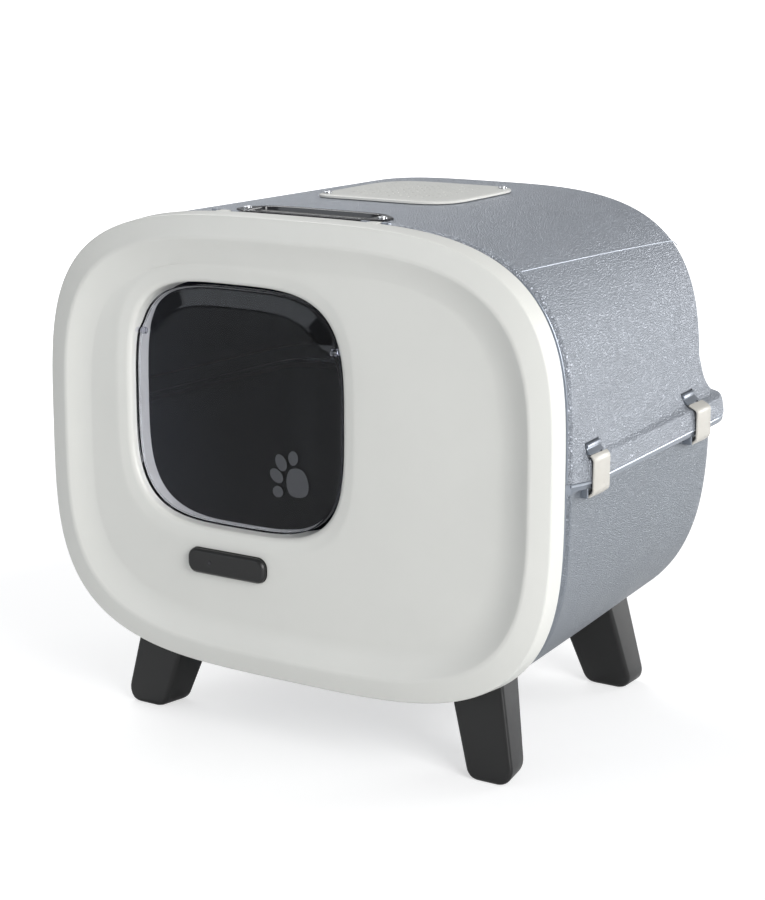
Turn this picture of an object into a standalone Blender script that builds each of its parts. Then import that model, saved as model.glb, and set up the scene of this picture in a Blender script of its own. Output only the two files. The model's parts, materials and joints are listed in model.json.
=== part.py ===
"""Hooded cat litter box on four splayed legs, with a hinged front panel and a swinging clear flap.

Metres, +Z up, +X to the right, the front faces -Y. The origin is at the bottom centre of the
bounding box. Every depth is given as a distance behind the front edge of the panel's rim.
"""

import math

import bmesh
import bpy
from mathutils import Vector

# ---------------------------------------------------------------- driving dimensions
FRONT_Y = -0.1996  # plane of the front panel's outer edge
SEAM_Z = 0.2850  # joint between hood and base
SEAM_GAP = 0.0012
GAP = 0.0004  # between pieces that touch
WALL = 0.0026  # moulded wall

PANEL_A = 0.270  # half-width of the front panel
PANEL_B = 0.2118  # half-height
PANEL_Z = 0.2822  # centre height
PANEL_POWER = 3.56  # how square the outline is
PANEL_SKIRT = 0.021  # depth of the panel's edge

ENTRY_X = -0.062  # centre of the way in
ENTRY_Z = 0.3155
ENTRY_A = 0.119
ENTRY_B = 0.115
ENTRY_POWER = 3.6
TUNNEL_BACK = 0.036  # where the sleeve round the way in ends
FLAP_GAP = 0.0025
FLAP_DEPTH = 0.0155  # hinge axis of the flap, behind the panel's edge
FLAP_HINGE_Z = 0.3785
FLAP_SHEET = 0.003

BODY_FRONT = 0.0235  # front of hood and base
CREASE = 0.0375  # where the neck behind the panel ends
BODY_REAR = 0.387
NECK = 0.0045  # how far the neck lies inside the body
FRONT_LIP = 0.012  # lip turned in round the hood's mouth
HOOD_A = (0.270, 0.237)  # half-width, front and rear
HOOD_B = (0.209, 0.213)  # height above the seam
BASE_A = (0.2695, 0.250)
BASE_B = (0.213, 0.2045)
BODY_POWER = 3.56
REAR_ROUND = 0.030
FLANGE_A = (0.277, 0.262)  # half-width over the flange
FLANGE_REAR = 0.016  # how far the flange stands behind the rear wall
FLANGE_START = 0.062  # the flange has its full width from here
LIP_HOOD = 0.0165  # height of the hood's lip
FLARE = ((0.0, 1.0), (LIP_HOOD, 0.88), (0.0205, 0.51), (0.030, 0.27), (0.0395, 0.14), (0.056, 0.0))
LIP_BASE = 0.0065
LIP_BASE_END = 0.0088

LATCH_X = -0.068
LATCH_Z = 0.1695
LATCH_W = 0.087
LATCH_H = 0.0235
LATCH_AXLE_Y = 0.0182
LATCH_LEVER = (  # side outline of the lever with its hook, about the axle
    (-0.0025, -0.0235),
    (-0.0004, -0.0235),
    (0.0024, -0.0160),
    (0.0028, -0.0045),
    (0.0108, -0.0045),
    (0.0108, -0.0087),
    (0.0130, -0.0075),
    (0.0130, -0.0020),
    (0.0028, 0.0027),
    (-0.0020, 0.0027),
    (-0.0024, -0.0025),
    (0.0004, -0.0053),
    (0.0004, -0.0150),
    (-0.0025, -0.0210),
)
HINGE_Y = 0.0262  # hinge axis of the front panel
HINGE_Z = 0.4930
HINGE_X = 0.080
HINGE_PIN_R = 0.0010

HANDLE_Y = 0.0495
HANDLE_PLATE = (0.080, 0.024)  # half-sizes of the plate, and of the well's opening in it
HANDLE_OPENING = (0.0635, 0.019)
HANDLE_POWER = 6  # how square the well is
HANDLE_WALL = 0.0020
HANDLE_DEPTH = 0.0165
HANDLE_SCREW_X = 0.0725
BAIL_PIVOT_Y = 0.038
BAIL_REACH = 0.057  # half-distance between the arms
BAIL_ARM = 0.0055
BAIL_EYE = 0.0061  # length of the eye round the pin
BAIL_GRIP = 0.010
BAIL_LENGTH = HANDLE_Y - BAIL_PIVOT_Y
BAIL_SINK = 0.0026  # of the handle's middle below the hood's top
VENT_Y = 0.224
VENT_A = 0.0725
VENT_TIP = (0.0620, 0.0590)  # the screws sit in the two sharper corners
VENT_HOLE_A = 0.056
FILTER_A = VENT_HOLE_A - 0.002  # the pad lifts out through the hole
CAGE_A = VENT_HOLE_A + 0.006
CAGE_DEPTH = 0.0150
CAGE_WALL = 0.003

CLIP_YS = {"front": 0.074, "rear": 0.310}
CLIP_W = 0.030
CLIP_PIN_DROP = 0.0128  # of the clip's pin below the seam
CLIP_SHEET = 0.0022
LEGS = {  # depth, half-spacing, width and thickness of foot and top; slant of the sides in plan
    "front": ((0.0540, 0.1925, 0.0475, 0.0335), (0.0666, 0.1710, 0.0560, 0.0430), 0.18),
    "rear": ((0.3470, 0.1670, 0.0525, 0.0335), (0.3330, 0.1445, 0.0635, 0.0410), 0.0),
}
LEG_RISE = 0.083
FOOT_ROUND = (0.009, 0.018)  # radius of the foot's inner and outer corner

SIDES = {"left": -1, "right": 1}


def depth(value):
    """World Y of a distance behind the panel's edge."""
    return FRONT_Y + value


def mix(pair, share):
    return pair[0] + (pair[1] - pair[0]) * share


def grown(sizes, margin):
    return tuple(size + margin for size in sizes)


def smooth(low, high, value):
    share = min(max((value - low) / (high - low), 0.0), 1.0)
    return share * share * (3 - 2 * share)


# ---------------------------------------------------------------- scene and materials
for old in list(bpy.data.objects):
    bpy.data.objects.remove(old)

PARTS = bpy.data.collections.new("cat_litter_box")
CUTTERS = bpy.data.collections.new("cutters")
bpy.context.scene.collection.children.link(PARTS)
bpy.context.scene.collection.children.link(CUTTERS)


def plastic(name, colour, roughness, metallic=0.0, transmission=0.0):
    made = bpy.data.materials.new(name)
    made.use_nodes = True
    shader = made.node_tree.nodes["Principled BSDF"]
    shader.inputs["Base Color"].default_value = (*colour, 1)
    shader.inputs["Roughness"].default_value = roughness
    shader.inputs["Metallic"].default_value = metallic
    shader.inputs["Transmission Weight"].default_value = transmission
    made.diffuse_color = (*colour, 1)
    return made


CREAM = plastic("cream_plastic", (0.66, 0.66, 0.63), 0.42)
BLUE_GREY = plastic("blue_grey_plastic", (0.33, 0.37, 0.42), 0.38, 0.35)
BLACK = plastic("black_plastic", (0.018, 0.018, 0.018), 0.35)
CLEAR = plastic("smoked_clear", (0.30, 0.30, 0.33), 0.05, 0.0, 0.8)
BEIGE = plastic("clip_plastic", (0.73, 0.70, 0.64), 0.4)
STEEL = plastic("steel", (0.62, 0.63, 0.65), 0.25, 1.0)
CARBON = plastic("carbon_pad", (0.03, 0.03, 0.032), 0.95)


# ---------------------------------------------------------------- modelling helpers
def add(name, mesh, material, collection=PARTS):
    made = bpy.data.objects.new(name, mesh)
    collection.objects.link(made)
    if material:
        mesh.materials.append(material)
    return made


def mesh_of(name, build):
    """A mesh made by build, which fills the bmesh it is given."""
    shape = bmesh.new()
    build(shape)
    mesh = bpy.data.meshes.new(name)
    shape.to_mesh(mesh)
    shape.free()
    return mesh


def round_off(target, width, segments=2):
    bevel = target.modifiers.new("rounding", "BEVEL")
    bevel.width = width
    bevel.segments = segments
    bevel.limit_method = "ANGLE"
    bevel.angle_limit = math.radians(40)


def shade(target):
    target.data.shade_smooth()
    target.data.set_sharp_from_angle(angle=math.radians(35))
    return target


def block(name, low, high, material, rounding=0.0, collection=PARTS):
    """A box between two corners, with its origin at its centre."""
    low, high = Vector(low), Vector(high)

    def build(shape):
        bmesh.ops.create_cube(shape, size=1)
        bmesh.ops.scale(shape, vec=high - low, verts=shape.verts)

    made = add(name, mesh_of(name, build), material, collection)
    made.location = (low + high) / 2
    if rounding:
        round_off(made, rounding)
    return made


def rod(name, start, end, radius, material, sides=16, tip=None, collection=PARTS):
    """A round bar, or a cone when tip gives the far end's radius."""
    start, end = Vector(start), Vector(end)

    def build(shape):
        bmesh.ops.create_cone(
            shape,
            cap_ends=True,
            segments=sides,
            radius1=radius,
            radius2=radius if tip is None else tip,
            depth=(end - start).length,
        )

    made = add(name, mesh_of(name, build), material, collection)
    made.rotation_euler = (end - start).to_track_quat("Z", "Y").to_euler()
    made.location = (start + end) / 2
    return shade(made)


def skin(shape, rings, closed):
    """Faces between rings of equal length, wound so that they face out when each ring runs
    anticlockwise seen from -Y and the rings follow each other towards +Y."""
    rows = [[shape.verts.new(point) for point in ring] for ring in rings]
    for near, far in zip(rows, rows[1:]):
        count = len(near)
        for i in range(count if closed else count - 1):
            j = (i + 1) % count
            shape.faces.new((near[i], far[i], far[j], near[j]))
    return rows


def apply_all(target):
    """Makes the evaluated mesh the object's own, so a cutter can work on it."""
    graph = bpy.context.evaluated_depsgraph_get()
    mesh = bpy.data.meshes.new_from_object(target.evaluated_get(graph))
    target.modifiers.clear()
    target.data = mesh


def boolean(target, tools, operation):
    for tool in tools:
        cut = target.modifiers.new(f"{operation.lower()}_{tool.name}", "BOOLEAN")
        cut.operation = operation
        cut.object = tool
        tool.hide_render = True
        tool.display_type = "WIRE"


def outline(centre_x, centre_z, half_w, half_h, power, count):
    """Points of a rounded rectangle, anticlockwise seen from -Y, evenly spread over its turn."""
    points = []
    for i in range(count):
        turn = 2 * math.pi * (i + 0.5) / count
        cos, sin = math.cos(turn), math.sin(turn)
        x = half_w * math.copysign(abs(cos) ** (2 / power), cos)
        z = half_h * math.copysign(abs(sin) ** (2 / power), sin)
        points.append((centre_x + x, centre_z + z))
    return points


def leaf(half_w, half_h, count):
    """A rounded square, sharper at the two corners on the diagonal where its screws sit."""
    blunt = outline(0, 0, half_w, half_h, 4.0, count)
    sharp = outline(0, 0, half_w, half_h, 8.0, count)
    return [b if b[0] * b[1] < 0 else s for b, s in zip(blunt, sharp)]


def spindle(half_w, half_h, count):
    """A rounded bar that narrows towards both ends."""
    points = outline(0, 0, half_w, half_h, 5, count)
    return [(x, y * (1 - 0.4 * smooth(0.72 * half_w, half_w, abs(x)))) for x, y in points]


def flat_prism(name, points, thickness, material, place, turn=(0, 0, 0), collection=PARTS):
    """A flat outline extruded evenly to both sides of its plane."""
    curve = bpy.data.curves.new(name, "CURVE")
    curve.dimensions = "2D"
    curve.fill_mode = "BOTH"
    curve.extrude = thickness / 2
    spline = curve.splines.new("POLY")
    spline.points.add(len(points) - 1)
    spline.use_cyclic_u = True
    for target, point in zip(spline.points, points):
        target.co = (*point, 0, 1)
    drawn = bpy.data.objects.new(name + "_outline", curve)
    collection.objects.link(drawn)
    drawn.location = place
    drawn.rotation_euler = turn
    bpy.context.view_layer.update()
    mesh = bpy.data.meshes.new_from_object(
        drawn.evaluated_get(bpy.context.evaluated_depsgraph_get())
    )
    shape = bmesh.new()
    shape.from_mesh(mesh)
    bmesh.ops.remove_doubles(shape, verts=shape.verts, dist=1e-6)
    shape.to_mesh(mesh)
    shape.free()
    mesh.materials.clear()
    made = add(name, mesh, material, collection)
    made.matrix_world = drawn.matrix_world.copy()
    bpy.data.objects.remove(drawn)
    return made


def pill(half_w, half_h, steps=8):
    """Outline of a bar with round ends."""
    points = []
    for side in (1, -1):
        for i in range(steps + 1):
            turn = math.pi * (i / steps - 0.5)
            x = half_w - half_h + half_h * math.cos(turn)
            points.append((side * x, side * half_h * math.sin(turn)))
    return points


def pill_box(half_w, half_h, radius, steps=3):
    """Outline of a rectangle with round corners."""
    points = []
    for quarter, (sx, sy) in enumerate(((1, 1), (-1, 1), (-1, -1), (1, -1))):
        for i in range(steps + 1):
            turn = math.pi / 2 * (quarter + i / steps)
            x = sx * (half_w - radius) + radius * math.cos(turn)
            y = sy * (half_h - radius) + radius * math.sin(turn)
            points.append((x, y))
    return points


def ribbon(path, widths):
    """Closed outline of a strip along a path, with its own width at each point."""
    left, right = [], []
    for i, (point, width) in enumerate(zip(path, widths)):
        here = Vector(point)
        ahead = Vector(path[min(i + 1, len(path) - 1)])
        behind = Vector(path[max(i - 1, 0)])
        along = (ahead - behind).normalized()
        side = Vector((-along.y, along.x)) * width / 2
        left.append(tuple(here + side))
        right.append(tuple(here - side))
    return left + right[::-1]


# ---------------------------------------------------------------- hood and base surfaces
SIDE_STEPS_HOOD = (0.0785, 0.0975, 0.143, 0.188, 0.267, 0.42, 0.58, 0.71, 0.80)
SIDE_STEPS_BASE = (0.015, 0.031, 0.0435, 0.20, 0.38, 0.55, 0.70, 0.80)
TOP_STEPS = (0.76, 0.62, 0.42, 0.20)


def arch(half_w, height, side_steps):
    """Half outline from the seam on the right over to the seam on the left, as (x, height)."""
    side = [(1.0, 0.0)]
    side += [((1 - s**BODY_POWER) ** (1 / BODY_POWER), s) for s in side_steps]
    side += [(s, (1 - s**BODY_POWER) ** (1 / BODY_POWER)) for s in TOP_STEPS]
    whole = side + [(0.0, 1.0)] + [(-x, h) for x, h in reversed(side)]
    return [(x * half_w, h * height) for x, h in whole]


def half_width(widths, back):
    return mix(widths, (back - CREASE) / (BODY_REAR - CREASE))


def flange_half_width(back):
    full = mix(FLANGE_A, (back - FLANGE_START) / (BODY_REAR - FLANGE_START))
    flush = half_width(HOOD_A, back)
    return mix((flush, full), smooth(CREASE - 0.004, FLANGE_START, back))


def stations():
    """(distance behind the panel's edge, inset) of each ring, from the neck to the rear wall."""
    rows = [(BODY_FRONT, NECK), (CREASE - 0.004, NECK), (CREASE, 0)]
    rows += [(back, 0) for back in (0.050, FLANGE_START, 0.10, 0.16, 0.22, 0.28, 0.33)]
    for i in range(5):
        turn = math.pi / 2 * i / 4
        inset = REAR_ROUND * (1 - math.cos(turn))
        rows.append((BODY_REAR - REAR_ROUND * (1 - math.sin(turn)), inset))
    return rows


def hood_flare(rise):
    """Share of the flange's outset at a height above the seam: a lip, a shelf, a hollow curve."""
    for (low, first), (high, last) in zip(FLARE, FLARE[1:]):
        if rise <= high:
            return mix((first, last), (rise - low) / (high - low))
    return 0.0


def base_flare(drop):
    return 1.0 - smooth(LIP_BASE, LIP_BASE_END, drop)


def body_ring(upper, back, inset, grow=0.0):
    """One ring of the hood (upper) or of the base, with the flange swept outwards."""
    widths, heights = (HOOD_A, HOOD_B) if upper else (BASE_A, BASE_B)
    side_steps = SIDE_STEPS_HOOD if upper else SIDE_STEPS_BASE
    flare = hood_flare if upper else base_flare
    share = (back - CREASE) / (BODY_REAR - CREASE)
    a = mix(widths, share) - inset + grow
    b = mix(heights, share) - inset + grow
    outset = flange_half_width(min(back, BODY_REAR)) - mix(widths, share)
    outset = max(outset - (0.0 if upper else 0.001), 0.0)
    rearward = smooth(BODY_REAR - REAR_ROUND, BODY_REAR, back) * FLANGE_REAR
    ring = []
    for x, rise in arch(a, b, side_steps):
        spread = flare(rise)
        y = depth(back) + rearward * spread
        drafted = 0.0 if upper else 0.045 * smooth(0.10, BODY_REAR, back) * (rise / BASE_B[0]) ** 2
        push = outset * spread * abs(x / a)
        z = SEAM_Z + (rise + SEAM_GAP / 2) * (1 if upper else -1)
        ring.append((x + math.copysign(push, x), y - drafted, z))
    return ring


def hood_top(x, back):
    """Height of the hood's outer face."""
    share = (back - CREASE) / (BODY_REAR - CREASE)
    a, b = mix(HOOD_A, share), mix(HOOD_B, share)
    return SEAM_Z + SEAM_GAP / 2 + b * (1 - abs(x / a) ** BODY_POWER) ** (1 / BODY_POWER)


def shell(name, rings, material, thickness, front_wall=False):
    """An open skin of rings, thickened inwards; its rear end, and its front end if asked, is
    closed by a wall of level strips from one side to the other."""

    def build(shape):
        rows = skin(shape, rings, closed=False)
        close_end(shape, rows[-1])
        if front_wall:
            close_end(shape, rows[0][::-1])

    made = add(name, mesh_of(name, build), material)
    solid = made.modifiers.new("wall", "SOLIDIFY")
    solid.thickness = thickness
    solid.offset = -1
    solid.use_even_offset = True
    return made


def close_end(shape, row):
    last = len(row) - 1
    middle = last // 2
    for i in range(middle - 1):
        shape.faces.new((row[i + 1], row[i], row[last - i], row[last - i - 1]))
    shape.faces.new((row[middle], row[middle - 1], row[middle + 1]))


def conform(target, clearance):
    """Bends a flat piece, modelled on the plane z = 0, onto the hood's top face."""
    for vertex in target.data.vertices:
        x, y = vertex.co.x + target.location.x, vertex.co.y + target.location.y
        vertex.co.z += hood_top(x, y - FRONT_Y) + clearance
    target.location.z = 0


def plan_plate(name, centre_back, rows, material):
    """A closed plate on the hood's top, lofted through rows of (outline, height)."""

    def build(shape):
        rings = [[(x, y, height) for x, y in ring] for ring, height in rows]
        made_rows = skin(shape, rings, closed=True)
        for row, point_z in ((made_rows[0], rows[0][1]), (made_rows[-1], rows[-1][1])):
            tip = shape.verts.new((0, 0, point_z))
            for i, vertex in enumerate(row):
                after = row[(i + 1) % len(row)]
                corners = (vertex, tip, after) if row is made_rows[0] else (vertex, after, tip)
                shape.faces.new(corners)
        bmesh.ops.recalc_face_normals(shape, faces=shape.faces)

    made = add(name, mesh_of(name, build), material)
    made.location = (0, depth(centre_back), 0)
    return made


# ---------------------------------------------------------------- hood
def make_hood():
    rings = [body_ring(True, BODY_FRONT, NECK + FRONT_LIP)]
    rings += [body_ring(True, *row) for row in stations()]
    hood = shell("hood_shell", rings, BLUE_GREY, WALL)
    apply_all(hood)
    lugs = []
    for name, side in SIDES.items():
        for inner, outer in ((HINGE_X - 0.0145, HINGE_X - 0.0065), (HINGE_X + 0.0065, HINGE_X + 0.0145)):
            ends = sorted((side * inner, side * outer))
            low = (ends[0], depth(0.0243), HINGE_Z - 0.0056)
            high = (ends[1], depth(0.0292), HINGE_Z + 0.0025)
            lugs.append(block(f"hood_lug_{name}_{len(lugs)}", low, high, None, 0, CUTTERS))
    boolean(hood, lugs, "UNION")
    bore = rod(
        "hinge_bore",
        (-0.11, depth(HINGE_Y), HINGE_Z),
        (0.11, depth(HINGE_Y), HINGE_Z),
        HINGE_PIN_R * 1.3,
        None,
        12,
        collection=CUTTERS,
    )
    well = flat_prism(
        "handle_hole",
        outline(0, 0, *grown(HANDLE_OPENING, HANDLE_WALL + 0.0012), HANDLE_POWER, 28),
        0.06,
        None,
        (0, depth(HANDLE_Y), HINGE_Z),
        collection=CUTTERS,
    )
    vent = flat_prism(
        "vent_hole",
        outline(0, 0, VENT_HOLE_A, VENT_HOLE_A, 5, 28),
        0.06,
        None,
        (0, depth(VENT_Y), HINGE_Z),
        collection=CUTTERS,
    )
    boolean(hood, [bore, well, vent], "DIFFERENCE")
    return bore


# ---------------------------------------------------------------- base
def make_base():
    rings = [body_ring(False, *row)[::-1] for row in stations()]
    base = shell("base_tray", rings, BLUE_GREY, WALL, front_wall=True)
    apply_all(base)
    entry = block(
        "entry_notch",
        (ENTRY_X - ENTRY_A - 0.018, depth(BODY_FRONT) - 0.02, LATCH_Z + 0.013),
        (ENTRY_X + ENTRY_A + 0.018, depth(BODY_FRONT) + 0.012, SEAM_Z + 0.03),
        None,
        0,
        CUTTERS,
    )
    boolean(base, [entry], "DIFFERENCE")
    return base


def base_envelope():
    """The base's outer form a little enlarged and filled, to shape what fits under it."""
    rings = [body_ring(False, *row, grow=0.0005)[::-1] for row in stations()]

    def build(shape):
        rows = skin(shape, rings, closed=True)
        shape.faces.new(rows[0][::-1])
        shape.faces.new(rows[-1])
        bmesh.ops.recalc_face_normals(shape, faces=shape.faces)

    return add("base_envelope", mesh_of("base_envelope", build), None, CUTTERS)


# ---------------------------------------------------------------- front panel
def panel_rings(count):
    """Rings from the skirt's rear edge over the rim, across the face and through the sleeve."""
    rim = [  # outset from the outline, distance behind the edge
        (0.0015, PANEL_SKIRT),
        (0.0000, 0.0016),
        (-0.0014, 0.0000),
        (-0.0185, -0.0038),
        (-0.0212, -0.0036),
        (-0.0300, 0.0010),
        (-0.0430, 0.0056),
    ]
    rings = []
    for outset, back in rim:
        ring = outline(0, PANEL_Z, PANEL_A + outset, PANEL_B + outset, PANEL_POWER, count)
        rings.append([(x, depth(back), z) for x, z in ring])
    face = outline(0, PANEL_Z, PANEL_A - 0.043, PANEL_B - 0.043, PANEL_POWER, count)
    mouth = [(0.012, 0.0066), (0.006, 0.0076), (0.0, 0.0120), (-0.001, TUNNEL_BACK)]
    bevel = outline(ENTRY_X, ENTRY_Z, ENTRY_A + 0.012, ENTRY_B + 0.012, ENTRY_POWER, count)
    middle = [((a + c) / 2, depth(0.0064), (b + d) / 2) for (a, b), (c, d) in zip(face, bevel)]
    rings.append(middle)
    for outset, back in mouth:
        ring = outline(ENTRY_X, ENTRY_Z, ENTRY_A + outset, ENTRY_B + outset, ENTRY_POWER, count)
        rings.append([(x, depth(back), z) for x, z in ring])
    return rings


def make_panel(hinge_bore):
    def build(shape):
        skin(shape, panel_rings(56), closed=True)
        bmesh.ops.reverse_faces(shape, faces=shape.faces)

    panel = add("front_panel", mesh_of("front_panel", build), CREAM)
    solid = panel.modifiers.new("wall", "SOLIDIFY")
    solid.thickness = WALL
    solid.offset = -1
    solid.use_even_offset = True
    apply_all(panel)
    lugs = []
    for name, side in SIDES.items():
        low = (side * HINGE_X - 0.006, depth(0.0185), HINGE_Z - 0.0020)
        high = (side * HINGE_X + 0.006, depth(0.0289), HINGE_Z + 0.0022)
        lugs.append(block(f"panel_lug_{name}", low, high, None, 0, CUTTERS))
    boolean(panel, lugs, "UNION")
    button_hole = flat_prism(
        "button_hole",
        pill(LATCH_W / 2 + 0.0006, LATCH_H / 2 + 0.0006),
        0.03,
        None,
        (LATCH_X, depth(0.0), LATCH_Z),
        (math.pi / 2, 0, 0),
        CUTTERS,
    )
    sockets = rod(
        "flap_sockets",
        (ENTRY_X - ENTRY_A - 0.012, depth(FLAP_DEPTH), FLAP_HINGE_Z),
        (ENTRY_X + ENTRY_A + 0.012, depth(FLAP_DEPTH), FLAP_HINGE_Z),
        0.0032,
        None,
        12,
        collection=CUTTERS,
    )
    boolean(panel, [button_hole, sockets, hinge_bore], "DIFFERENCE")
    return panel


def make_flap():
    """Clear flap: a flat sheet whose top edge leans back above the hinge, with two stub pins."""
    half_w, half_h = ENTRY_A - FLAP_GAP - 0.001, ENTRY_B - FLAP_GAP - 0.001

    def lean(z):
        return 0.0035 * smooth(FLAP_HINGE_Z + 0.008, ENTRY_Z + half_h, z)

    def build(shape):
        rings = []
        for side in (-0.5, 0.5):
            for scale in (0.5, 0.86, 1.0) if side < 0 else (1.0, 0.86, 0.5):
                ring = outline(ENTRY_X, ENTRY_Z, half_w * scale, half_h * scale, ENTRY_POWER, 40)
                rim = 0.0012 if scale == 1.0 else 0.0
                offset = side * (FLAP_SHEET + 2 * rim)
                rings.append([(x, depth(FLAP_DEPTH) + offset + lean(z), z) for x, z in ring])
        rows = skin(shape, rings, closed=True)
        shape.faces.new(rows[0][::-1])
        shape.faces.new(rows[-1])
        bmesh.ops.recalc_face_normals(shape, faces=shape.faces)
        bmesh.ops.translate(
            shape, verts=shape.verts, vec=(-ENTRY_X, -depth(FLAP_DEPTH), -FLAP_HINGE_Z)
        )

    flap = add("entry_flap", mesh_of("entry_flap", build), CLEAR)
    flap.location = (ENTRY_X, depth(FLAP_DEPTH), FLAP_HINGE_Z)
    pins = []
    for name, side in SIDES.items():
        reach = ENTRY_A * 0.967
        start = (ENTRY_X + side * (reach - 0.010), depth(FLAP_DEPTH), FLAP_HINGE_Z)
        end = (ENTRY_X + side * (reach + 0.0015), depth(FLAP_DEPTH), FLAP_HINGE_Z)
        pins.append(rod(f"flap_pin_{name}", start, end, 0.0025, None, 12, collection=CUTTERS))
    boolean(flap, pins, "UNION")


# ---------------------------------------------------------------- latch of the front panel
def make_latch():
    """Push button through the panel, and behind it a bell crank whose hook holds the tray's edge."""
    front, back = 0.0006, 0.0150
    button = flat_prism(
        "latch_button",
        pill(LATCH_W / 2, LATCH_H / 2),
        back - front,
        BLACK,
        (LATCH_X, depth((front + back) / 2), LATCH_Z),
        (math.pi / 2, 0, 0),
    )
    round_off(button, 0.0016)
    axle_z = LATCH_Z + 0.0205
    axle = (depth(LATCH_AXLE_Y), axle_z)
    housing_low = (LATCH_X - 0.030, depth(0.0108), axle_z - 0.0040)
    housing_high = (LATCH_X + 0.030, depth(0.0130), axle_z + 0.0025)
    arms = []
    housing = block("latch_housing", housing_low, housing_high, CREAM)
    for name, side in SIDES.items():
        ends = sorted((LATCH_X + side * 0.0225, LATCH_X + side * 0.0265))
        low = (ends[0], depth(0.0120), axle_z - 0.0040)
        high = (ends[1], depth(0.0215), axle_z + 0.0037)
        arms.append(block(f"latch_arm_{name}", low, high, None, 0, CUTTERS))
    boolean(housing, arms, "UNION")
    reach = 0.04
    bore = rod(
        "latch_bore",
        (LATCH_X - reach, *axle),
        (LATCH_X + reach, *axle),
        0.0016,
        None,
        12,
        collection=CUTTERS,
    )
    boolean(housing, [bore], "DIFFERENCE")
    rod(
        "latch_axle",
        (LATCH_X - 0.0268, *axle),
        (LATCH_X + 0.0268, *axle),
        0.0012,
        STEEL,
        12,
    )
    catch = flat_prism(
        "latch_catch",
        LATCH_LEVER,
        0.042,
        BLACK,
        (LATCH_X, *axle),
        (math.pi / 2, 0, math.pi / 2),
    )
    boolean(catch, [bore], "DIFFERENCE")


def make_hinge_pins():
    for name, side in SIDES.items():
        start = (side * (HINGE_X - 0.0150), depth(HINGE_Y), HINGE_Z)
        end = (side * (HINGE_X + 0.0150), depth(HINGE_Y), HINGE_Z)
        rod(f"panel_hinge_pin_{name}", start, end, HINGE_PIN_R, STEEL, 12)


# ---------------------------------------------------------------- side clips
def hood_side(back, rise):
    """X of the hood's outer side at a height above the seam."""
    share = (back - CREASE) / (BODY_REAR - CREASE)
    a, b = mix(HOOD_A, share), mix(HOOD_B, share)
    wall = a * (1 - (rise / b) ** BODY_POWER) ** (1 / BODY_POWER)
    return wall + (flange_half_width(back) - a) * hood_flare(rise)


def hood_side_out(back, rise, width):
    """The greatest such X along a width."""
    return max(hood_side(back + share * width / 2, rise) for share in (-1, 0, 1))


def flange_faces(back):
    """Least and greatest X of the flange's outer face along a clip."""
    found = [flange_half_width(back + share * CLIP_W / 2) for share in (-1, 0, 1)]
    return min(found), max(found)


def make_clip(name, side, back):
    """A strap curled round its pin on the tray, whose hook reaches over the hood's lip."""
    face = flange_faces(back)[1] + 0.0008
    pin_x, pin_z = face - 0.0050, SEAM_Z - CLIP_PIN_DROP
    curl = [
        (
            pin_x + 0.0026 * math.cos(math.radians(turn)),
            pin_z + 0.0026 * math.sin(math.radians(turn)),
        )
        for turn in range(160, 326, 33)
    ]
    outer = face + CLIP_SHEET / 2
    path = [
        *curl,
        (outer - 0.0008, pin_z + 0.0012),
        (outer, pin_z + 0.0036),
        (outer, SEAM_Z + 0.0165),
        (outer - 0.0008, SEAM_Z + 0.0186),
        (hood_side_out(back, 0.0197, CLIP_W) + 0.0041, SEAM_Z + 0.0205),
        (hood_side_out(back, 0.0225, CLIP_W) + 0.0031, SEAM_Z + 0.0232),
    ]
    local = [(side * (x - pin_x), z - pin_z) for x, z in ribbon(path, [CLIP_SHEET] * len(path))]
    flat_prism(
        f"clip_{name}",
        local,
        CLIP_W,
        BEIGE,
        (side * pin_x, depth(back), pin_z),
        (math.pi / 2, 0, 0),
    )
    rod(
        f"clip_pin_{name}",
        (side * pin_x, depth(back - CLIP_W / 2 - 0.0022), pin_z),
        (side * pin_x, depth(back + CLIP_W / 2 + 0.0022), pin_z),
        0.0011,
        STEEL,
        12,
    )
    lugs = []
    for end in (-1, 1):
        near = back + end * (CLIP_W / 2 + 0.0006)
        far = back + end * (CLIP_W / 2 + 0.0032)
        ys = sorted((depth(near), depth(far)))
        xs = sorted((side * (pin_x - 0.0075), side * (pin_x + 0.0028)))
        low = (xs[0], ys[0], pin_z - 0.0032)
        high = (xs[1], ys[1], pin_z + 0.0070)
        lugs.append(block(f"clip_lug_{name}_{end}", low, high, None, 0, CUTTERS))
    bore = rod(
        f"clip_bore_{name}",
        (side * pin_x, depth(back - CLIP_W), pin_z),
        (side * pin_x, depth(back + CLIP_W), pin_z),
        0.0014,
        None,
        12,
        collection=CUTTERS,
    )
    make_catch(name, side, back)
    return lugs, bore


def make_catch(name, side, back):
    """Wedge on the hood's flare, with a bar along its top, which the clip's hook snaps over."""
    rises = (0.0312, 0.0283, 0.0260)
    inner = [(hood_side_out(back, rise - 0.0006, CLIP_W) + 0.0006, rise) for rise in rises]
    outer = [(inner[-1][0] + 0.0026, rises[-1]), (inner[1][0] + 0.0010, rises[1])]
    outer += [(inner[1][0] + 0.0024, rises[1] + 0.0008), (inner[0][0] + 0.0024, rises[0])]
    section = [(side * x, SEAM_Z + rise) for x, rise in inner + outer]
    flat_prism(
        f"clip_catch_{name}",
        section,
        CLIP_W,
        BLUE_GREY,
        (0, depth(back), 0),
        (math.pi / 2, 0, 0),
    )


def make_clips(base):
    for place, back in CLIP_YS.items():
        for side_name, side in SIDES.items():
            lugs, bore = make_clip(f"{place}_{side_name}", side, back)
            boolean(base, lugs, "UNION")
            boolean(base, [bore], "DIFFERENCE")


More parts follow.
